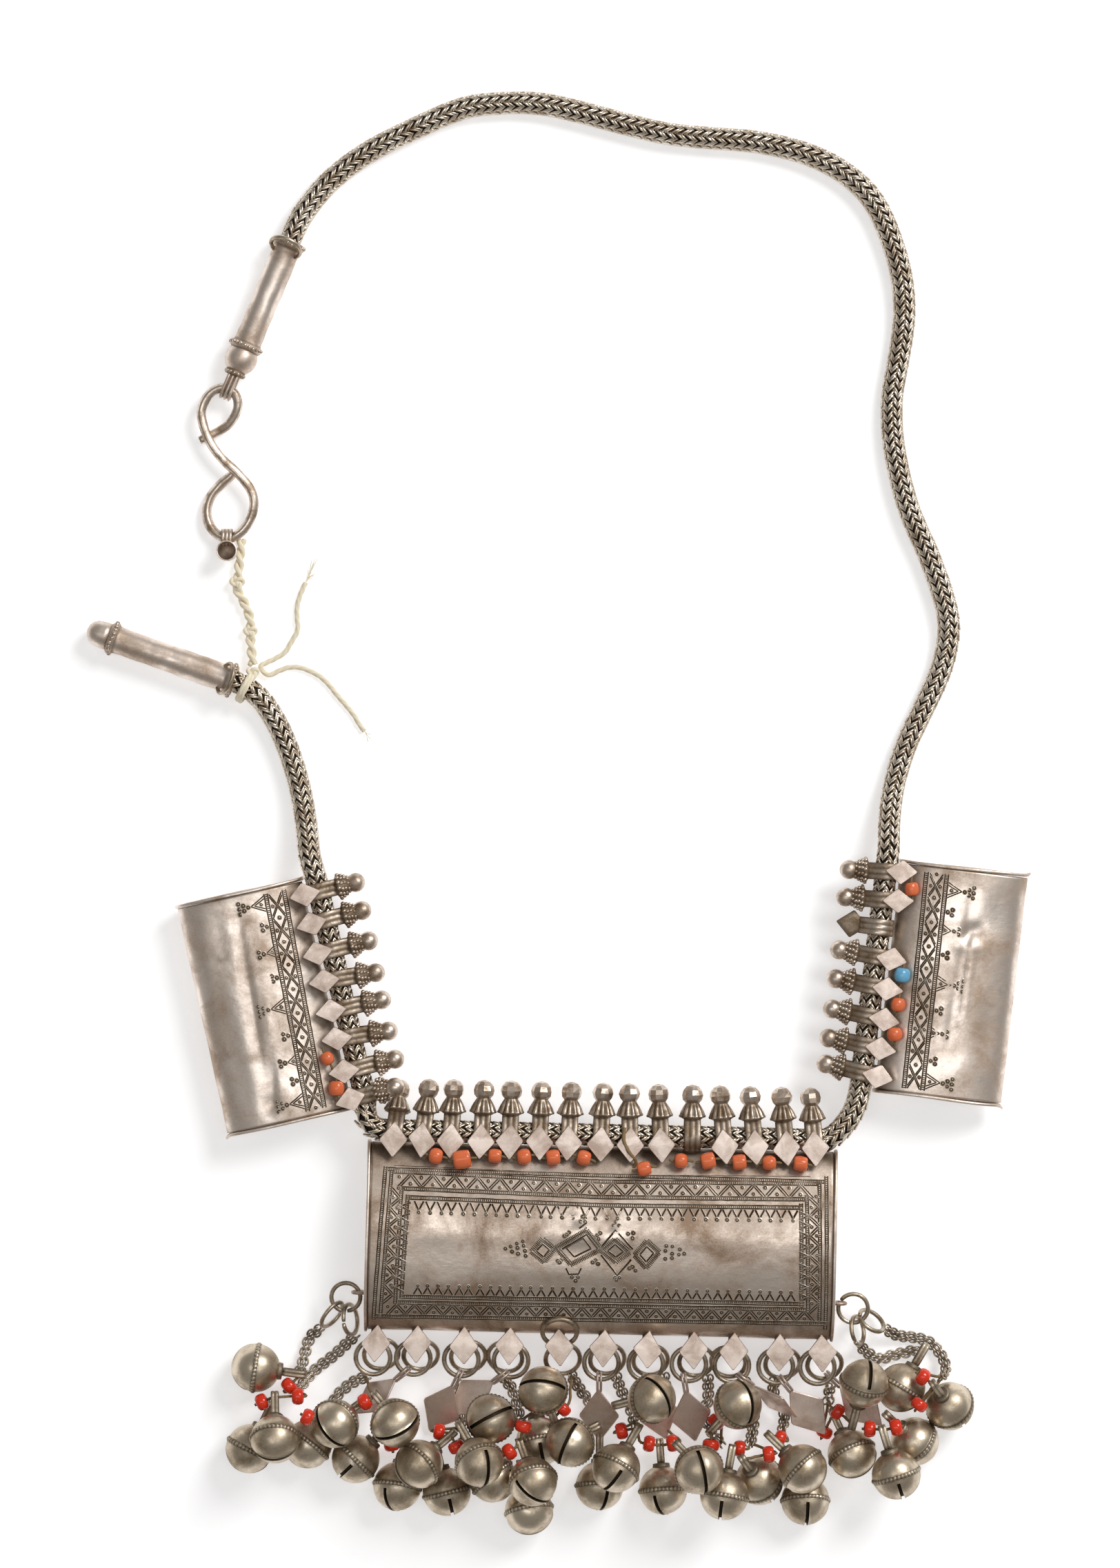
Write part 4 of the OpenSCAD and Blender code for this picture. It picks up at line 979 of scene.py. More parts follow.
def filed_ball(r, seed):
    """A ball of nine sides, each row a little uneven."""
    luck = random.Random(seed)
    rows = [(0.05, -1), (0.55, -0.84), (0.9, -0.42), (1.0, 0.02), (0.88, 0.46), (0.56, 0.82), (0.05, 0.99)]
    rows = [(r * a * luck.uniform(0.97, 1.03), r * z) for a, z in rows]
    return lathe(rows, 9, lambda a, row, rr: rr * luck.uniform(0.965, 1.02))


upright = spin(-90, "X")
granule = Bench()
granule.add(*ball(1.0, 4, 7), 0.0)
grains = []
PLAIN_SKIRT = [(1.7, 4.6), (3.2, 5.5), (3.55, 5.8), (3.3, 6.3), (1.9, 9.9), (1.6, 10.2)]
# Rows of granules on a plain skirt: radius, height, number
GRAIN_ROWS = [(3.45, 6.1, 13), (3.1, 7.0, 12), (2.65, 7.9, 10), (2.2, 8.8, 9)]


def granulate(at, r, z, n, size, start=0.0, wobble=0.0):
    """A ring of n granules about z. size() gives the radius of the next one."""
    for k in range(n):
        a = 2 * math.pi * (k + start) / n
        spot = (r * math.cos(a), r * math.sin(a), z + wobble * math.sin(3 * a))
        grains.append((at @ Matrix.Translation(spot), size()))


def finial(bench, at, reach, fluted, seed, ball_r=3.1):
    """Strap, skirt, neck and ball. The ball's middle is reach away from the chain's."""
    stem = at @ upright
    top = at @ Matrix.Translation((0, reach, 0)) @ upright @ Matrix.Rotation(seed, 4, "Z")
    bench.add(*ribbed_strap(dirt_and_shade=(0.35, 0.65)), at)
    if fluted:
        bench.add(*fluted_skirt(seed), stem)
    else:
        bench.add(*lathe(PLAIN_SKIRT, 24), 0.75, stem)
        for row, (r, y, n) in enumerate(GRAIN_ROWS):
            granulate(stem, r, y, n, lambda: 0.62 - 0.04 * row, 0.5 * (row % 2))
    shoulder = reach - ball_r
    neck = [(1.75, 9.4), (1.6, shoulder), (1.85, shoulder + 0.5), (1.5, shoulder + 1.2)]
    bench.add(*lathe(neck, 18), 0.55, stem)
    bench.add(*(filed_ball(ball_r, seed) if fluted else ball(ball_r * 0.9, 9, 14)), 0.0, top, fluted)


# %% The carrying loops in their rows
# Columns: place along the row, lean, pitch, 1 where the lozenge is there
LOOPS = {
    "centre": [(-60.1, -5, -20, 1), (-51.9, -6, 0, 1), (-43.8, -2, 0, 1), (-35, -2, 0, 1), (-26.9, -1, 0, 1),
               (-18.2, -1, 0, 1), (-9.8, -2, 0, 1), (-0.6, -2, 0, 1), (7.8, 2, 0, 1), (16.7, 4, 0, 1),
               (25.8, 1, 0, 0), (34.9, 6, 0, 1), (43.6, 6, 0, 1), (52.6, 6, 0, 1), (61, 6, 0, 1)],
    "left": [(-31.7, 1, 0, 1), (-23.2, 2, 0, 1), (-14.4, 1, 0, 1), (-5.9, -4, 0, 1), (2.7, -1, 0, 1),
             (11.2, -5, 0, 1), (20.5, 0, 0, 1), (28.6, 3, 30, 1)],
    "right": [(28.1, 4, 0, 1), (19.9, 3, 0, 1), (3.4, -3, 0, 1), (-5.2, -4, 0, 1), (-14, -4, 0, 1),
              (-22.5, -4, 0, 1), (-30.4, -6, 0, 1)]}
# Place of a lozenge across the row, its width and its length
PLATES = {"centre": (-2.3, 8.2, 10.6), "left": (-3.9, 7.2, 9.4), "right": (-4.2, 7.2, 9.4)}
seed = 0
for name, loops in LOOPS.items():
    case = CASES[name]
    cast, plates = Bench(), Bench()
    for u, lean, pitch, whole in loops:
        seed += 1
        foot = case["at"] @ place(u, 0, case["row_z"])
        leaned = foot @ spin(lean, "Z")
        finial(cast, leaned @ spin(pitch, "X"), case["reach"], name == "centre", seed)
        cast.add(*bar(2.4, -2.8, -0.2, -HOLE_R, -case["edge"] - 1.4), 0.8, foot)
        if whole:
            v, wide, long = PLATES[name]
            on_top = leaned @ Matrix.Translation((0, v, HOLE_R + STRAP_T - 0.1))
            plates.add(*lozenge(wide, long, 0.8, seed), 0.0, on_top, True)
    finish((cast, name + "_loops"), cast_silver, "silver")
    finish((plates, name + "_lozenges"), pale_silver, "silver")
finish(set_out("skirt_granules", granule, grains, cast_silver), cast_silver, "silver")

# %% The loop that has turned over, on the right case
loose = Bench()
at = CASES["right"]["at"] @ place(11.9, 0, CASES["right"]["row_z"])
loose.add(*ribbed_strap(4.8, stirrup(HOLE_R + STRAP_T, 1.1, 5, 7)), at)
loose.add(*lozenge(8.2, 9.4, 0.8, 77), 0.7, at @ Matrix.Translation((0, 8, -0.4)))
finish((loose, "turned_loop_cast"), cast_silver, "silver", "turned_loop")

# %% [markdown]
# Eleven eyes stand along the lower edge of the centre case, each under a lozenge of its own. Plain wire
# rings hang in them, two to an eye, and carry everything below.

# %% Eyes, their lozenges and the rings
LOWER_EYES = (-64.2, -52.4, -38.8, -25.6, -11.2, 1.6, 14.3, 27.6, 39.2, 52.6, 64.8)
EYE_R = 2.3
centre = CASES["centre"]
EYE_V = -(centre["edge"] + 2 * centre["half_w"] + EYE_R + STRAP_T + 0.3)
EYE_Z = centre["mid_z"]
RING_R, RING_WIRE, WIRE_LEVEL = 5.0, 1.4, 0.9
# Columns: eye, tilt, turn, 1 above or -1 below the middle of the eye
LOWER_RINGS = [(1, 8, -10, 1), (1, 26, 18, -1), (2, 10, -12, 1), (2, 28, 14, -1), (3, 9, -8, 1),
               (3, 26, 16, -1), (4, 10, 6, 1), (4, 27, -16, -1), (5, -145, 0, 1), (5, 24, 14, -1),
               (6, 9, -6, 1), (6, 27, 16, -1), (7, 10, -4, 1), (7, 27, 14, -1), (8, 9, -14, 1),
               (8, 27, 14, -1), (9, 10, -4, 1), (9, 27, -16, -1), (10, 9, -12, 1), (10, 27, 14, -1),
               (11, 9, -14, 1), (11, 27, 14, -1)]
# Columns: x, y, z, radius, turn, tilt
SIDE_RINGS = [(-63.1, -140.8, 8, 4.2, 0, 8), (-67.2, -146.1, 6.4, 4.3, 52, 66),
              (-61.9, -147.5, 6.4, 4.4, 100, 66), (84, -144.1, 8, 4.3, 0, 8),
              (85.4, -150.7, 6.2, 4.1, 102, 62), (89.5, -147.9, 6.2, 4.1, 145, 62)]


def ring_place(eye, tilt, turn, level):
    there = centre["at"] @ place(LOWER_EYES[eye - 1], EYE_V, EYE_Z + WIRE_LEVEL * level, turn)
    return there @ spin(tilt, "X") @ Matrix.Translation((0, -RING_R, 0))


def on_ring(ring, phi):
    """The point of the ring's wire that lies phi degrees from its far end."""
    a = math.radians(phi - 90)
    return ring_place(*LOWER_RINGS[ring - 1]) @ Vector((RING_R * math.cos(a), RING_R * math.sin(a), 0))


def wire_ring(r, wire, gap_at=90.0):
    """A ring of wire whose cut ends meet with a hair of a gap."""
    path = circle(r, 30, gap_at + 3, 354)
    path[:, 2] += np.linspace(-0.12, 0.12, len(path))
    return tube(path, wire / 2 * np.r_[0.82, np.ones(28), 0.82], 8)


eyes, plates, rings = Bench(), Bench(), Bench()
eye_band = circle(EYE_R + STRAP_T, 20)[:, :2]
for k, u in enumerate(LOWER_EYES):
    at = centre["at"] @ place(u, EYE_V, EYE_Z)
    eyes.add(*ribbed_strap(3.0, eye_band, 2, (0.2, 0.7)), at)
    eyes.add(*bar(1.5, -1.2, 1.2, EYE_R + 2.3, EYE_R + 0.1), 0.7, at)
    turned = at @ Matrix.Rotation(rng.uniform(-0.06, 0.06), 4, "Z")
    on_top = turned @ Matrix.Translation((0, -0.4, EYE_R + STRAP_T - 0.1))
    plates.add(*lozenge(8.6, 11.2, 0.8, 100 + k), 0.0, on_top, True)
for row in LOWER_RINGS:
    rings.add(*wire_ring(RING_R, RING_WIRE, rng.uniform(60, 120)), 0.12, ring_place(*row))
for x, y, z, r, turn, tilt in SIDE_RINGS:
    rings.add(*wire_ring(r, 1.3, rng.uniform(0, 360)), 0.12, place(x, y, z, turn) @ spin(tilt, "X"))
finish((eyes, "lower_eyes"), cast_silver, "silver")
finish((plates, "lower_lozenges"), pale_silver, "silver")
finish((rings, "case_ring_wires"), ring_silver, "pale_silver", "case_rings")

# %% [markdown]
# End plates close the tubes. They are thin ovals of sheet, slightly larger than the tube, whose rims
# were hammered outward and catch the light.

# %% End plates
# Columns: case, -1 at the tube's start or 1 at its end, curl of the rim far from and near the chain, wave
END_PLATES = {
    "centre_left_plate": ("centre", -1, 0.2, 0.2, 0.12),
    "centre_right_plate": ("centre", 1, 0.2, 0.2, 0.12),
    "left_top_plate": ("left", -1, 0.1, 0.3, 0.12),
    "left_bottom_plate": ("left", 1, 1.0, 0.1, 0.12),
    "right_top_plate": ("right", 1, 0.9, 0.1, 0.12), "right_bottom_plate": ("right", -1, 1.2, 0.1, 0.25)}
# Share of the full size, place along the tube and recess, from the middle inside to the middle outside
PLATE_ROWS = [(0.03, -0.5, 0.5), (0.6, -0.5, 0.5), (0.985, -0.45, 0.4), (1.0, -0.2, 0), (1.0, 0.25, 0),
              (0.985, 0.45, 0), (0.93, 0.35, 0.3), (0.5, 0.4, 0.4), (0.03, 0.45, 0.4)]
PLATE_POINTS = 72


def end_plate(case, u, sign, far_curl, near_curl, wave):
    w, t = case["half_w"] + PLATE_RIM, case["half_t"] + PLATE_RIM / 2
    a = around(PLATE_POINTS)
    curl = wave * np.sin(3 * a + 1)
    curl = curl + far_curl * np.exp(-((a - math.pi) / 0.3) ** 2) + near_curl * np.exp(-(a / 0.35) ** 2)
    rings = []
    for share, off, _ in PLATE_ROWS:
        at_u = u + sign * (off + curl * np.clip((share - 0.9) / 0.1, 0, 1))
        v = w * share * np.cos(a) - (case["edge"] + case["half_w"])
        rings.append(np.stack([at_u, v, t * share * np.sin(a) + case["mid_z"]], 1))
    points, faces = loft(rings)
    return points, [f[::sign] for f in faces], np.repeat([deep for _, _, deep in PLATE_ROWS], PLATE_POINTS)


for node, (name, sign, *rim) in END_PLATES.items():
    case = CASES[name]
    u = (case["first"] - 0.6) if sign < 0 else (case["last"] + 0.6)
    plate = Bench()
    plate.add(*end_plate(case, u, sign, *rim), case["at"])
    if name == "centre":
        eye = case["at"] @ place(u + sign * 2.2, -47.6, 8) @ spin(90, "X")
        plate.add(*tube(circle(1.9, 20), 0.55, 8, True), 0.3, eye)
    finish((plate, node + "_sheet"), tube_silver, "silver", node)

# %% [markdown]
# A bell is two beaten cups joined at a seam. A ring of granules between two fine lines hides the seam,
# a slit with raised lips lets the sound out, and a strip bail stands in a granulated collar. One bell
# is made and then set down 34 times, each with a few soft dents of its own.

# %% The bell and its places
# Columns: x, y, direction in which the collar points, its elevation, turn of the slit, least height
BELLS = [
    (-89.2, -161.4, -8, 0, 70, 0), (-91, -184.8, 64, -5, 75, 0), (-74, -183.4, 52, -13, 90, 0),
    (-60.2, -187.6, 45, -5, 0, 0), (-48.2, -195.8, 81, -16, 150, 0), (-33.8, -197.2, 104, -5, 5, 0),
    (-20.6, -192.6, 130, -10, 60, 0), (-10, -202.7, 101, -19, 90, 0), (-6.7, -182.7, 100, -20, 0, 0),
    (10.5, -195.6, 90, -15, 19, 0), (28.9, -196.9, 94, -12, 157, 0), (56.8, -194.2, 124, 46, 0, 0),
    (70.2, -200, 90, -21, 3, 0), (98, -167.2, 59, -6, 60, 0), (101.9, -182.8, 135, 28, 90, 0),
    (112.1, -172.5, 126, 46, 0, 0), (-21, -175.1, -110, -72, 44, 15), (-83, -180.4, 92, -41, 90, 0),
    (-65.8, -176.2, 35, -62, 87, 0), (-41.7, -187.8, 40, -30, 90, 0), (-24.2, -186.2, 120, -46, 35, 0),
    (2, -181.3, 25, -70, 137, 0), (-8.8, -192.4, 110, -46, 143, 0), (15.1, -188.7, 60, -24, 9, 0),
    (46.3, -197, 80, -10, 173, 0), (68.8, -189.2, 136, -18, 90, 0), (83.7, -186.4, 115, -27, 90, 0),
    (95.8, -190.9, 107, -2, 177, 0), (86.6, -164.8, -104, -20, 170, 0), (-48.4, -175.4, 130, -66, 104, 0),
    (-5.8, -166.4, -72, -58, 112, 19), (25.4, -168.9, 195, -53, 77, 18.2), (38.7, -188.2, 135, -70, 35, 0),
    (50.2, -171, 228, -44, 127, 16)]
BELL_R, BELL_GAP, BAND_R, COLLAR_R, COLLAR_H = 7.0, 0.5, 0.35, 2.3, 1.1
BAIL_HALF, BAIL_L, BAIL_W, BAIL_LOW = 1.5, 4.6, 2.2, -5


def aim(azimuth, elevation):
    a, e = math.radians(azimuth), math.radians(elevation)
    return Vector((math.cos(a) * math.cos(e), math.sin(a) * math.cos(e), math.sin(e)))


def bail_eye(row):
    azimuth, elevation = row[2:4]
    root = (BELL_R + COLLAR_H - 0.4) * aim(azimuth, elevation)
    return root + (BAIL_HALF + BAIL_L - 0.6) * aim(azimuth, elevation + max(0, BAIL_LOW - elevation))


bell_z = []
for i, row in enumerate(BELLS):
    top = (BELL_R + COLLAR_H - 0.4) * aim(row[2], row[3])
    heights = [row[5], BELL_R + BAND_R, -top.z + COLLAR_R * math.cos(math.radians(row[3])),
               -bail_eye(row).z + BAIL_HALF + 0.7]
    for other, z in zip(BELLS[:i], bell_z):
        d, reach = math.dist(row[:2], other[:2]), 2 * BELL_R + BELL_GAP
        if d < reach:
            heights.append(z + math.sqrt(reach * reach - d * d))
    bell_z.append(max(heights))
print("bells lie at", [round(z, 1) for z in bell_z])


# %% One bell, in its own frame: the collar points up and the slit is below
SLIT_END, SLIT_ROWS = 14.5, 22


def bell_shell():
    slit = math.degrees(math.asin(0.5 / BELL_R))
    side = np.r_[-89.5, np.linspace(-78, -12, 9), -slit - 2.2, -slit]
    side = np.r_[side, -side[::-1]]
    a = np.radians(side)
    first, last = -180 + SLIT_END, -SLIT_END
    about = np.r_[np.linspace(first, last, SLIT_ROWS), np.linspace(last, 180 + SLIT_END, 28)[1:-1]]
    rings = []
    for b in about:
        ease = min(1.0, max(0.0, min(b - first, last - b) / 6))
        r = np.where(np.abs(np.abs(side) - slit) < 0.1, BELL_R + 0.16 * ease, BELL_R)
        b = math.radians(b)
        rings.append(np.stack([r * np.cos(a) * math.cos(b), r * np.sin(a), r * np.cos(a) * math.sin(b)], 1))
    n, m = len(rings), len(side)
    faces = [(i * m + j, (i + 1) % n * m + j, (i + 1) % n * m + j + 1, i * m + j + 1) for i in range(n)
             for j in range(m - 1) if i >= SLIT_ROWS - 1 or j != m // 2 - 1]
    faces += [tuple(i * m for i in range(n))[::-1], tuple(i * m + m - 1 for i in range(n))]
    shell = Bench()
    shell.add(np.concatenate(rings), faces, 0.0)
    # The lips turn inward and their inner edges take the darkest colour. A near-black ball inside the shell
    #     shows through the slit: painted shade of the bell's hollow inside
    lip = [(i, i + 1, SLIT_ROWS + i + 1, SLIT_ROWS + i) for i in range(SLIT_ROWS - 1)]
    for j, sign in ((m // 2 - 1, 1), (m // 2, -1)):
        outer = np.array([rings[i][j] for i in range(SLIT_ROWS)])
        shell.add(np.r_[outer, outer * 0.9], [f[::sign] for f in lip], np.repeat([0.2, 1.0], SLIT_ROWS))
    shell.add(*ball(BELL_R * 0.9, 12, 20), 1.0)
    return shell


def seam_band():
    turn = around(176)
    grain = 0.15 + 0.85 * np.abs(np.sin(19 * turn))
    rings, deep = [], []
    # Columns: height, swell, share of the granules, recess
    for z, h, g, d in ((-1.15, -0.1, 0, 0.2), (-0.98, 0.14, 0, 0), (-0.78, 0.0, 0, 0.8),
                       (-0.44, 0.08, 0.3, 0.25), (0, 0.1, 0.42, 0), (0.44, 0.08, 0.3, 0.25),
                       (0.78, 0.0, 0, 0.8), (0.98, 0.14, 0, 0), (1.15, -0.1, 0, 0.2)):
        rings.append(hoop(math.sqrt(BELL_R ** 2 - z * z) - 0.06 + h + g * grain, z, turn))
        deep.append(np.clip(d + (0.75 * (1 - grain) if g else 0 * grain), 0, 1))
    points, faces = loft(rings)
    return points, faces[:-2], np.concatenate(deep)


collar = lathe([(2.5, 6.35), (2.55, 6.9), (2.3, 7.15), (2.3, 7.6), (2.0, 7.75), (0.4, 7.8)], 34,
               lambda a, row, r: r * (1 + 0.07 * abs(math.sin(8.5 * a)) * (row in (2, 3))))
points, bail_faces, bail_depth = ribbed_strap(BAIL_W, stirrup(BAIL_HALF, BAIL_HALF, BAIL_L, 6), 2,
                                              (0.15, 0.6))
# The bail stands on the collar with its width along the bell's own y
bail_points = np.stack([points[:, 2], points[:, 0], points[:, 1] + BAIL_HALF - 0.3], 1)
body = Bench()
body.bench(bell_shell(), None)
body.add(*seam_band())
for i, (x, y, azimuth, elevation, slit_turn, _) in enumerate(BELLS):
    at = Matrix.Translation((x, y, bell_z[i])) @ (spin(azimuth, "Z") @ spin(90 - elevation, "Y"))
    points = np.concatenate(body.points)
    for k, p in enumerate(points):
        q = Vector(p) * 0.16 + Vector((i * 7.3, 0, 0))
        dent = max(0, noise.noise(q * 1.7 + Vector((0, 9, 0))) - 0.25)
        points[k] = p * (1 + 0.016 * noise.noise(q) - 0.022 * dent)
    own = Bench()
    own.add(points, body.faces, np.concatenate(body.recess), at @ spin(slit_turn, "Z"))
    own.add(*collar, 0.55, at)
    bend = max(0, BAIL_LOW - elevation)
    up = at @ Matrix.Translation((0, 0, BELL_R + COLLAR_H - 0.4)) @ spin(-bend, "Y")
    own.add(bail_points, bail_faces, bail_depth, up)
    name = "bell_%02d" % (i + 1)
    finish((own, name + "_beaten"), bell_silver, "bell_silver", name)

# %% [markdown]
# Thin chains run from the rings down to the bells. Their links are small ovals of wire, each a quarter
# turn from the last. The second tree lays them in two strands that sway about each route of the CAD
# chains.

# %% The thin chains
DROP_ROUTES = [
    [(-71, -150.8, 3), (-74, -154, 1.6), (-76, -160, 3), (-76.4, -162.4, 5)],
    [(-60.6, -152.6, 3.6), (-66, -158, 1.4), (-73, -163, 1.8), (-77, -168, 6)],
    [(-57.4, -164.6, 3.4), (-62, -167, 1.4), (-66, -170, 1.4), (-68, -174, 2)],
    [(-29.6, -166.6, 3.4), (-30.6, -171, 1.4), (-30.4, -176, 1.6), (-29.6, -179, 5)],
    [(-17.4, -164.8, 3.6), (-15, -168, 1.4), (-13.4, -174, 1.4), (-13, -178, 2)],
    [(2.4, -164, 4.8), (5.4, -169, 1.4), (8, -173.4, 1.2), (8.6, -176.4, 1.2)],
    [(15.4, -164.4, 4.6), (17.6, -170, 1.4), (19.6, -175, 2), (20.6, -177.6, 5)],
    [(29.3, -164.4, 4.1), (30.4, -170.6, 1.2), (29.8, -174, 1.2), (29.4, -177.4, 1.1), (29.3, -179.4, 1.1)],
    [(42, -164.8, 4.5), (42.4, -171, 1.4), (41, -176, 1.2), (43, -181, 1.2), (46, -184, 1.6)],
    [(52.5, -164.7, 4.9), (55, -171, 1.4), (55.2, -177, 3), (54.2, -183, 9.6)],
    [(61.4, -165.5, 4), (61.6, -170, 1.4), (64, -175, 1.6), (63.8, -179, 6.6)],
    [(78, -167.4, 3.4), (77.4, -169.6, 1.4), (77.3, -171.8, 1.3)],
    [(93.8, -150.6, 5), (97.4, -152.4, 2.4), (101.6, -153, 1.6), (106.4, -154.6, 1.6),
     (109.8, -158.4, 2.4), (111, -162, 6), (109.6, -163.6, 12)],
    [(86.4, -155.5, 3.6), (89, -157.8, 1.4), (92.4, -159.6, 1.3), (96.4, -158.6, 1.3), (102.6, -157, 1.4)]]
link = Bench()
oval = circle(1.0, 12)
link.add(*tube(np.stack([oval[:, 0] * 0.8, 0 * oval[:, 0], oval[:, 1] * 1.22], 1), 0.31, 5, True), 0.1)
drop_paths = [smooth(route, 6) for route in DROP_ROUTES]
strands = []
for path in drop_paths:
    aside = frames(path)[2]
    sway = np.sin(np.linspace(0, 2.2 * math.pi, len(path)))[:, None]
    strands += [path + aside * (0.75 + 0.25 * sway), path - aside * (0.75 - 0.2 * sway) + (0, 0, 0.2)]
links = link_up("drop_chain_links", link, strands, 1.4, math.pi / 2, ring_silver)
finish(links, ring_silver, "silver", "drop_chains")

# %% [markdown]
# Red glass beads are threaded between chain and bell on short brown cords. The cord starts at the nearest
# end of a chain or ring, goes through the bead and ends in the bail of the bell that the bead belongs to.

# %% Glass beads and their cords
# Columns: x, y, z, number of the bell that the bead belongs to
GLASS = [
    (-79.5, -166.6, 8, 1), (-76.8, -169.1, 11.7, 18), (-73.5, -173.7, 21.8, 18), (-87.2, -170.8, 11.2, 18),
    (-57.3, -170.4, 14.2, 19), (-49.9, -184.2, 5, 4), (-36, -179.6, 10, 20), (-30.8, -183.2, 15, 20),
    (-11.6, -177, 16.8, 23), (-15.6, -184.4, 16.6, 23), (-3.7, -173.9, 3.2, 31), (-0.1, -172.9, 10.2, 31),
    (16.8, -178.9, 13.3, 24), (24.8, -183.4, 7.7, 11), (31.6, -183.2, 8, 11), (42.6, -183, 13, 34),
    (44.4, -177.4, 5, 34), (50.9, -184.3, 11, 25), (59.2, -185.4, 14.8, 12), (62.7, -181.5, 10, 26),
    (76, -180.7, 3, 27), (79.5, -174.1, 7.8, 29), (88.4, -178.2, 14, 28), (95.8, -177.4, 16.6, 28),
    (103.6, -163, 15.4, 16), (102.6, -171, 15.2, 16)]
# Half a bead with its knots, and how far a cord still reaches to its bail and to its chain
BEAD_END, BAIL_REACH, CHAIN_REACH = 2.3, 11, 13
glass, cords = Bench(), Bench()
bead_profile = [(0.62, -1.25), (1.1, -1.62), (1.7, -1.66), (2.25, -1.2), (2.48, -0.4), (2.48, 0.4),
                (2.25, 1.2), (1.7, 1.66), (1.1, 1.62), (0.62, 1.25)]
ends = [Vector(p) for route in drop_paths for p in (route[0], route[-1])]
for x, y, z, owner in GLASS:
    row = BELLS[owner - 1]
    eye = Vector((row[0], row[1], bell_z[owner - 1])) + bail_eye(row)
    heading = math.degrees(math.atan2(eye.y - y, eye.x - x))
    at = place(x, y, z, heading)
    sideways = at @ spin(90, "Y") @ Matrix.Scale(rng.uniform(0.94, 1.02), 4)
    glass.add(*lathe(bead_profile, 20), np.repeat([0.8, 0.3, 0, 0, 0, 0, 0, 0, 0.3, 0.8], 20), sideways)
    back, front = at @ Vector((-BEAD_END, 0, 0)), at @ Vector((BEAD_END, 0, 0))
    path = [back, front]
    if (eye - front).length < BAIL_REACH:
        path += [front.lerp(eye, 0.55) + Vector((0, 0, 0.3)), eye]
    start = min(ends, key=lambda p: (p - back).length)
    if (start - back).length < CHAIN_REACH:
        path = [start, back.lerp(start, 0.5)] + path
    laid = smooth([p[:] for p in path], 4)
    cords.add(*tube(laid, 0.42, 6, shape=lambda i, a: 1 + 0.12 * math.sin(3 * a + 1.9 * i)), 0.2)
finish((glass, "glass_beads_wound"), red_glass, "red_glass", "glass_beads")
finish((cords, "bead_cord_runs"), brown_thread, "thread", "bead_cords")

# %% [markdown]
# Nine lozenge pendants hang on the rings by bails of two parallel wires.

# %% Pendants
# Columns: ring, place round the ring, direction, slope down, roll of the plate
PENDANTS = [(3, -18, 221, 15, 45), (5, 0, 243, 20, 8), (7, -34, 217, 14, 16), (11, 0, -90, 21, 6),
            (13, 10, -72, 21, 0), (15, 0, -80, 21, -6), (17, 45, -37, 6, 62), (19, 40, -52, 9, 6),
            (22, 12, -44, -3, 14)]
PENDANT_W, PENDANT_L, PENDANT_T = 12, 17.6, 0.5
hangers = Bench()
outline = stirrup(1.95, 0.72, 3.0, 6)
loop_path = np.stack([outline[:, 0], 0 * outline[:, 0], outline[:, 1]], 1)
for k, (ring, phi, direction, slope, roll) in enumerate(PENDANTS):
    at = Matrix.Translation(on_ring(ring, phi)) @ place(turn=direction, lift=slope)
    for aside in (-0.5, 0.5):
        hangers.add(*tube(loop_path + (0, aside, 0), 0.38, 6, True), 0.2, at)
    flat = at @ place(3 + PENDANT_L / 2, roll=roll) @ spin(90, "Z")
    points, faces = lozenge(PENDANT_W, PENDANT_L, PENDANT_T, 200 + k)
    hangers.add(points - (0, 0, PENDANT_T / 2), faces, 0.05, flat, True)
finish((hangers, "pendant_plates"), pale_silver, "pale_silver", "lozenge_pendants")

# %% [markdown]
# Coral beads lie on the shoulder of each tube beside the chain, on what is left of their thread. No two
# are cut alike: some are short barrels, some nearly round. One bead on the right case is blue.

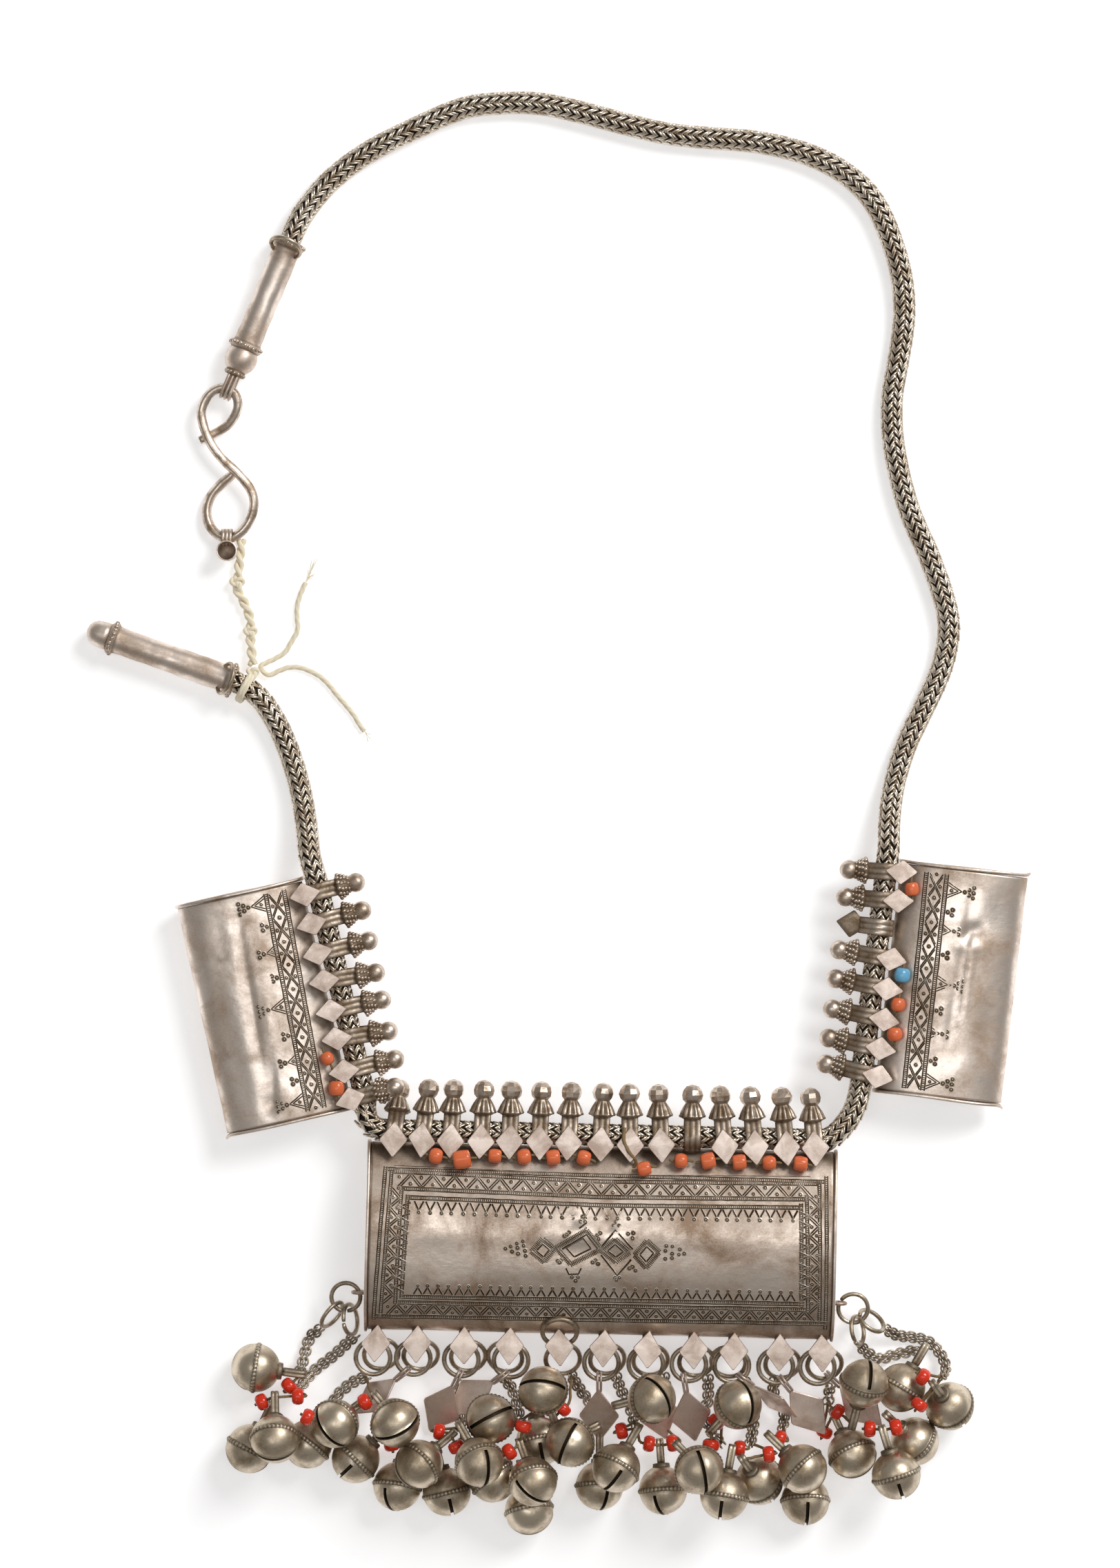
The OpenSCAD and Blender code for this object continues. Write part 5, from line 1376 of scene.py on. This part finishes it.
# %% Coral beads and thread
# Columns: place along the row, place across it, diameter
CORAL = {
    "centre": [(-48, -6.8, 4.4), (-40.4, -7.6, 5.6), (-31, -6.4, 4.2), (-22.6, -6.4, 4.4),
               (-14.2, -6.4, 4.4), (-5.4, -6.4, 4.4), (12, -9, 4.4), (22.6, -6.6, 4.2), (30.4, -6.4, 4.6),
               (39.4, -6.6, 4.4), (48, -6.6, 4.4), (57, -6.6, 4.4)],
    "left": [(15.8, -7.8, 4.2), (24.8, -7.1, 4.6)],
    "right": [(24, -7.7, 4.2), (-1, -7.9, 4.6), (-9.6, -7.7, 4.4), (-18.2, -7.7, 4.4)]}
corals, blue, threads = Bench(), Bench(), Bench()
for name, beads in CORAL.items():
    case = CASES[name]
    for u, v, d in beads:
        across = (-(v - d / 4) - case["edge"] - case["half_w"]) / case["half_w"]
        z = case["mid_z"] + case["half_t"] * math.sqrt(max(0, 1 - across * across)) + d / 2 + 0.4
        lean = rng.uniform(-16, 16)
        at = case["at"] @ place(u, v, z, lean)
        r, long, barrel = d / 2 * rng.uniform(0.95, 1.03), 0.46 * d, rng.uniform(0.25, 0.8)
        profile = [(0.5, -long)]
        for t in np.linspace(-75, 75, 9):
            c = math.cos(math.radians(t))
            wide = r * (barrel + (1 - barrel) * c) if abs(t) < 70 else r * (0.3 + 0.45 * barrel)
            profile.append((wide, long * math.sin(math.radians(t)) * 1.03))
        profile.append((0.5, long))
        shift = rng.uniform(0, 6)

        def uneven(a, row, rr):
            return rr * (1 + 0.03 * math.sin(2 * a + shift) + 0.02 * math.sin(5 * a))

        points, faces = lathe(profile, 18, uneven)
        depth = np.repeat([1.0, 0.45] + [0.0] * 7 + [0.45, 1.0], 18)
        kind = blue if (name, u) == ("right", -1) else corals
        kind.add(points, faces, depth, at @ spin(90, "Y"))
        ends = [(-long - 1.3, 0.3, -0.5), (-long - 0.3, 0, 0), (long + 0.3, 0, 0), (long + 1.5, -0.3, -0.6)]
        threads.add(*tube(smooth(ends, 3), 0.38, 6), 0.2, at)
# What is left of the thread between the beads, on the centre case
TUFT = [
    [(6.2, 2.6, 4.6), (6.0, -1, 5.4), (7.6, -4.4, 5.6), (9.6, -7.0, 3.6), (8.6, -9.2, 2.2),
     (4.6, -9.4, 2.0)],
    [(9.4, -9.6, 2.4), (6.6, -10.6, 1.4), (3.6, -11.6, 1.6), (1.4, -12.6, 2.0)],
    [(14.4, -9.4, 2.2), (16.4, -9.0, 1.6), (17.6, -8.2, 1.2)]]
for path in TUFT:
    path = [CASES["centre"]["at"] @ Vector((u, v, CASES["centre"]["row_z"] + z)) for u, v, z in path]
    laid = smooth([p[:] for p in path], 5)
    threads.add(*tube(laid, 0.5, 7, shape=lambda i, a: 1 + 0.18 * math.sin(3 * a + 1.5 * i)), 0.0)
finish((corals, "coral_beads_cut"), coral, "coral", "coral_beads")
finish((blue, "blue_bead"), blue_bead, "coral")
finish((threads, "bead_threads"), brown_thread, "thread", "coral_threads")

# %% [markdown]
# The chain's two ends sit in silver tubes with granulated collars. The upper one ends in a ball and a
# bail of three wires, the lower one in a dome. Each has a wire ring through it.

# %% Terminals
def terminal(ends, kind):
    x0, y0, x1, y1 = ends
    length, bearing = math.hypot(x1 - x0, y1 - y0), math.degrees(math.atan2(y1 - y0, x1 - x0))
    at = place(x0, y0, 5.0, bearing)
    lying = at @ spin(90, "Y")
    made = Bench()
    profile = [(3.0, 0.6), (3.45, 0.0), (4.3, 0.0), (4.75, 0.5), (4.75, 1.7), (4.1, 2.2)]
    profile += [(4.0 + 0.07 * math.sin(z * 0.9) - 0.05 * (z > 18), z)
                for z in np.linspace(3, length - 3, 16)]
    profile += [(4.1, length - 2.2), (4.7, length - 1.8), (4.7, length - 0.5), (4.2, length)]
    n = 36
    luck = random.Random(kind)

    def ripple(a, row, r):
        return r * (1 + 0.012 * math.sin(2 * a + row * 0.5) + 0.02 * (row in (3, 4)) * abs(math.sin(9 * a)))

    points, faces = lathe(profile, n, ripple)
    depth = np.repeat([0.9, 0.5, 0.3, 0.3, 0.3, 0.6] + [0.1] * 16 + [0.6, 0.3, 0.3, 0.5], n)
    made.add(points, faces, depth, lying)
    for z, r in ((0.9, 4.7), (length - 1.2, 4.65)):
        granulate(lying, r, z, 22, lambda: luck.uniform(0.5, 0.7), wobble=0.2)
    if kind == 1:
        made.add(*ball(4.8, 12, 24), 0.05, at @ Matrix.Translation((length + 2.6, 0, 0)))
        granulate(lying, 2.7, length + 7.3, 14, lambda: 0.6)
        made.add(*lathe([(2.9, length + 6.4), (2.9, length + 7.9), (1.6, length + 8.2)], 20), 0.6, lying)
        outline = stirrup(2.3, 2.3, 3.4, 6)
        for aside in (-1.2, 0, 1.2):
            wire = np.stack([outline[:, 0] + length + 9.4, 0 * outline[:, 0] + aside, outline[:, 1]], 1)
            made.add(*tube(wire, 0.5, 6, True), 0.15, at)
    else:
        dome = [(3.9, length - 0.2), (3.95, length + 1.5), (3.8, length + 3), (3.55, length + 4.3),
                (2.9, length + 5.5), (1.7, length + 6.4), (0.05, length + 6.8)]
        made.add(*lathe(dome, n), 0.15, lying)
    return made


grains = []
for node, ends, kind in (("upper_terminal", (-79.5, 165.8, -92.7, 134.1), 1),
                         ("lower_terminal", (-95.6, 37.8, -132, 50.7), 2)):
    finish((terminal(ends, kind), node + "_tube"), tube_silver, "silver", node)
finish(set_out("collar_granules", granule, grains, cast_silver), cast_silver, "silver")

# %% [markdown]
# The clasp is an S of heavy wire, hammered nearly square. A cup, the broken end of the lower terminal,
# still hangs on it by a ribbed strap.

# %% Hook and cup
HOOK_ROUTE = [
    (-106, 108.2, 1.4), (-101.7, 110.2, 1.5), (-97.4, 112.8, 2.8), (-94.8, 117.1, 4.2), (-95.2, 120.9, 4.8),
    (-97.4, 122.6, 5), (-100, 123, 5), (-103.2, 121, 5), (-105.2, 116.7, 4.8), (-104.7, 112.3, 4.7),
    (-102.6, 107.1, 4.5), (-99.1, 102.4, 4.4), (-94.8, 98.4, 4.4), (-91.3, 94.1, 4.2), (-90, 89.8, 4),
    (-91.3, 84.6, 3.8), (-94.4, 80.8, 3.6), (-98, 79.6, 3.4), (-102, 81.8, 3), (-103.9, 86.4, 2.4),
    (-103, 91.2, 1.8), (-100.2, 95, 1.4), (-97.4, 97.4, 1.4), (-96.0, 98.9, 1.4)]
hook = Bench()
hook_path = smooth(HOOK_ROUTE, 5)
thick = np.interp(np.linspace(0, 1, len(hook_path)), [0, 0.04, 0.5, 0.96, 1],
                  [0.9, 1.0, 1.0, 1.0, 0.85]) * 1.3


def squared(i, a):
    """A square with round corners, a little uneven along the wire."""
    bulk = abs(math.cos(a)) ** 3.2 + abs(math.sin(a)) ** 3.2
    return 0.97 / bulk ** (1 / 3.2) * (1 + 0.02 * math.sin(i * 0.9))


hook.add(*tube(hook_path, thick, 16, False, squared), 0.0)
finish((hook, "clasp_hook_wire"), cast_silver, "silver", "clasp_hook")

cup = Bench()
at = place(-97.7, 75.7, 3.4)
cup_profile = [(0.05, 0), (2.3, 0.05), (2.8, 0.5), (2.85, 3.0), (2.98, 4.9), (2.9, 5.05), (2.6, 4.95),
               (2.45, 3.0), (2.3, 0.9), (0.05, 0.8)]
cup.add(*lathe(cup_profile, 28), np.repeat([0.4, 0.3, 0.2, 0.1, 0.0, 0.0, 0.1, 0.35, 0.55, 0.5], 28), at)
cup.add(*ribbed_strap(3.2, circle(2.7, 24)[:, :2], 3), place(-97.9, 79.7, 3.4))
finish((cup, "end_cup_sheet"), tube_silver, "silver", "end_cup")

# %% [markdown]
# Cotton string ties the broken clasp together. Two strands are twisted into one from the hook to the
# terminal, wound round the chain there, and end in two loose tails with frayed tips. Each strand is
# itself spun of three plies, which shows as slanting ridges.

# %% Cotton string
TIE_ROUTE = [(-93.8, 79.2, 1.6), (-94, 76.6, 1.6), (-94.3, 73.8, 1.6), (-94.7, 69, 1.8), (-94.9, 64.6, 2),
             (-92.8, 60.4, 1.7), (-91.2, 55.6, 1.6), (-91.2, 50.6, 1.6), (-90.8, 46.2, 2.2),
             (-90.4, 42.8, 3.2)]
TAIL_ROUTE = [(-75.1, 66.8, 0.8), (-76.6, 63.4, 0.8), (-77.6, 59.8, 0.8), (-77.6, 56.2, 0.8),
              (-77.5, 52.8, 0.8), (-79.2, 49.6, 0.8), (-81.2, 46.4, 0.9), (-84.4, 44.4, 1.2),
              (-88.2, 42.3, 2), (-86, 39.8, 1.4), (-83, 41, 1), (-80.2, 42, 0.8), (-77, 42, 0.8),
              (-74, 41, 0.8), (-71, 39.4, 0.8), (-68.4, 37, 0.8), (-66, 34, 0.8), (-63.4, 31, 0.8),
              (-61, 28, 0.8), (-59.6, 25.6, 0.8), (-58, 23.4, 0.8)]


def plied(bench, path, run, radius, twist=2.6, sides=12):
    """A strand of three plies, whose ridges wind round it once in twist millimetres."""
    phase = 2 * np.pi * run / twist

    def ridged(i, a):
        return 0.86 + 0.2 * abs(math.sin(1.5 * a - 0.5 * phase[i]))

    points, faces = tube(path, radius, sides, shape=ridged)
    a = np.tile(around(sides), len(path))
    # The valleys between the plies get a recess, which darkens them: painted shade
    valley = 1 - np.abs(np.sin(1.5 * a - 0.5 * np.repeat(phase, sides)))
    bench.add(points, faces, 0.5 * valley)


def knot(t, size, at):
    """The course of an overhand knot, as far as t goes round."""
    bends = np.stack([np.sin(t) + 2 * np.sin(2 * t), np.cos(t) - 2 * np.cos(2 * t), -np.sin(3 * t)], 1)
    return bends * size + at


tie, tails, wrap, fray = Bench(), Bench(), Bench(), Bench()
tie_path, run = even(smooth(TIE_ROUTE, 8), 0.45)
_, _, side, up = frames(tie_path)
for start in (0, math.pi):
    turn = 2 * np.pi * run / 7.5 + start
    plied(tie, tie_path + 0.74 * (np.cos(turn)[:, None] * side + np.sin(turn)[:, None] * up), run, 0.76)
for share, size in ((0.34, 0.63), (0.74, 0.567)):
    middle = tie_path[int(share * len(tie_path))] + (0, 0, 0.5)
    tie.add(*tube(knot(around(40), size, middle), 0.62, 8, True), 0.1)
tail_path, tail_run = even(smooth(TAIL_ROUTE, 6), 0.45)
plied(tails, tail_path, tail_run, 0.75)
luck = random.Random(3)
for tip, back, count in ((tail_path[0], tail_path[4], 14), (tail_path[-1], tail_path[-5], 5)):
    away = (tip - back) / np.linalg.norm(tip - back)
    for _ in range(count):
        stray = np.array([luck.uniform(-0.5, 0.5), luck.uniform(-0.5, 0.5), luck.uniform(0, 0.12)])
        long = luck.uniform(1.5, 5.5 if count > 9 else 2.5)
        hair = [tip - away, tip + (away + 0.4 * stray) * 0.5 * long, tip + (away + stray) * long]
        fray.add(*tube(smooth(hair, 3), 0.09, 4), 0.0)
t = np.linspace(0, 2 * np.pi * 2.1, 90)
coil = np.stack([4.15 * np.cos(t), 4.15 * np.sin(t), np.linspace(-0.9, 0.9, 90)], 1)
turns = Bench()
plied(turns, coil, np.linspace(0, 54, 90), 0.72)
wrap.bench(turns, place(-92.4, 36.1, 5, 149) @ spin(90, "Y"))
wrap.add(*tube(knot(t[:42], 0.5, (-90.2, 40.4, 6.0)), 0.62, 8), 0.1)
tie = finish((tie, "cotton_tie"), cotton, "cotton", "tie_string")
tails = finish((tails, "cotton_tails"), cotton, "cotton", "tie_tails")
wrap = finish((wrap, "cotton_wrap"), cotton, "cotton", "tie_wrap")
fray = finish((fray, "cotton_fray"), cotton, "cotton")


def in_metres(path):
    return [((Vector(p) + HOME) * MM)[:] for p in path]


tie_line, tail_line = in_metres(tie_path), in_metres(tail_path)
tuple(tie_line[0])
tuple(tie_line[-1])
print("tie", round(run[-1]), "mm, tails", round(tail_run[-1]), "mm")

# %% Every node that is still shown gets its finish, and the shown box is printed
for name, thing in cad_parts.items():
    if not thing.hide_render:
        thing.data.materials.clear()
        thing.data.materials.append(ring_silver)
        print("kept from the CAD model:", name)
low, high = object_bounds()
{"cad": [list(cad_low), list(cad_high)], "visual": [list(low), list(high)]}
print("shown box in mm:", [round(1000 * c, 1) for c in (*low, *high)])
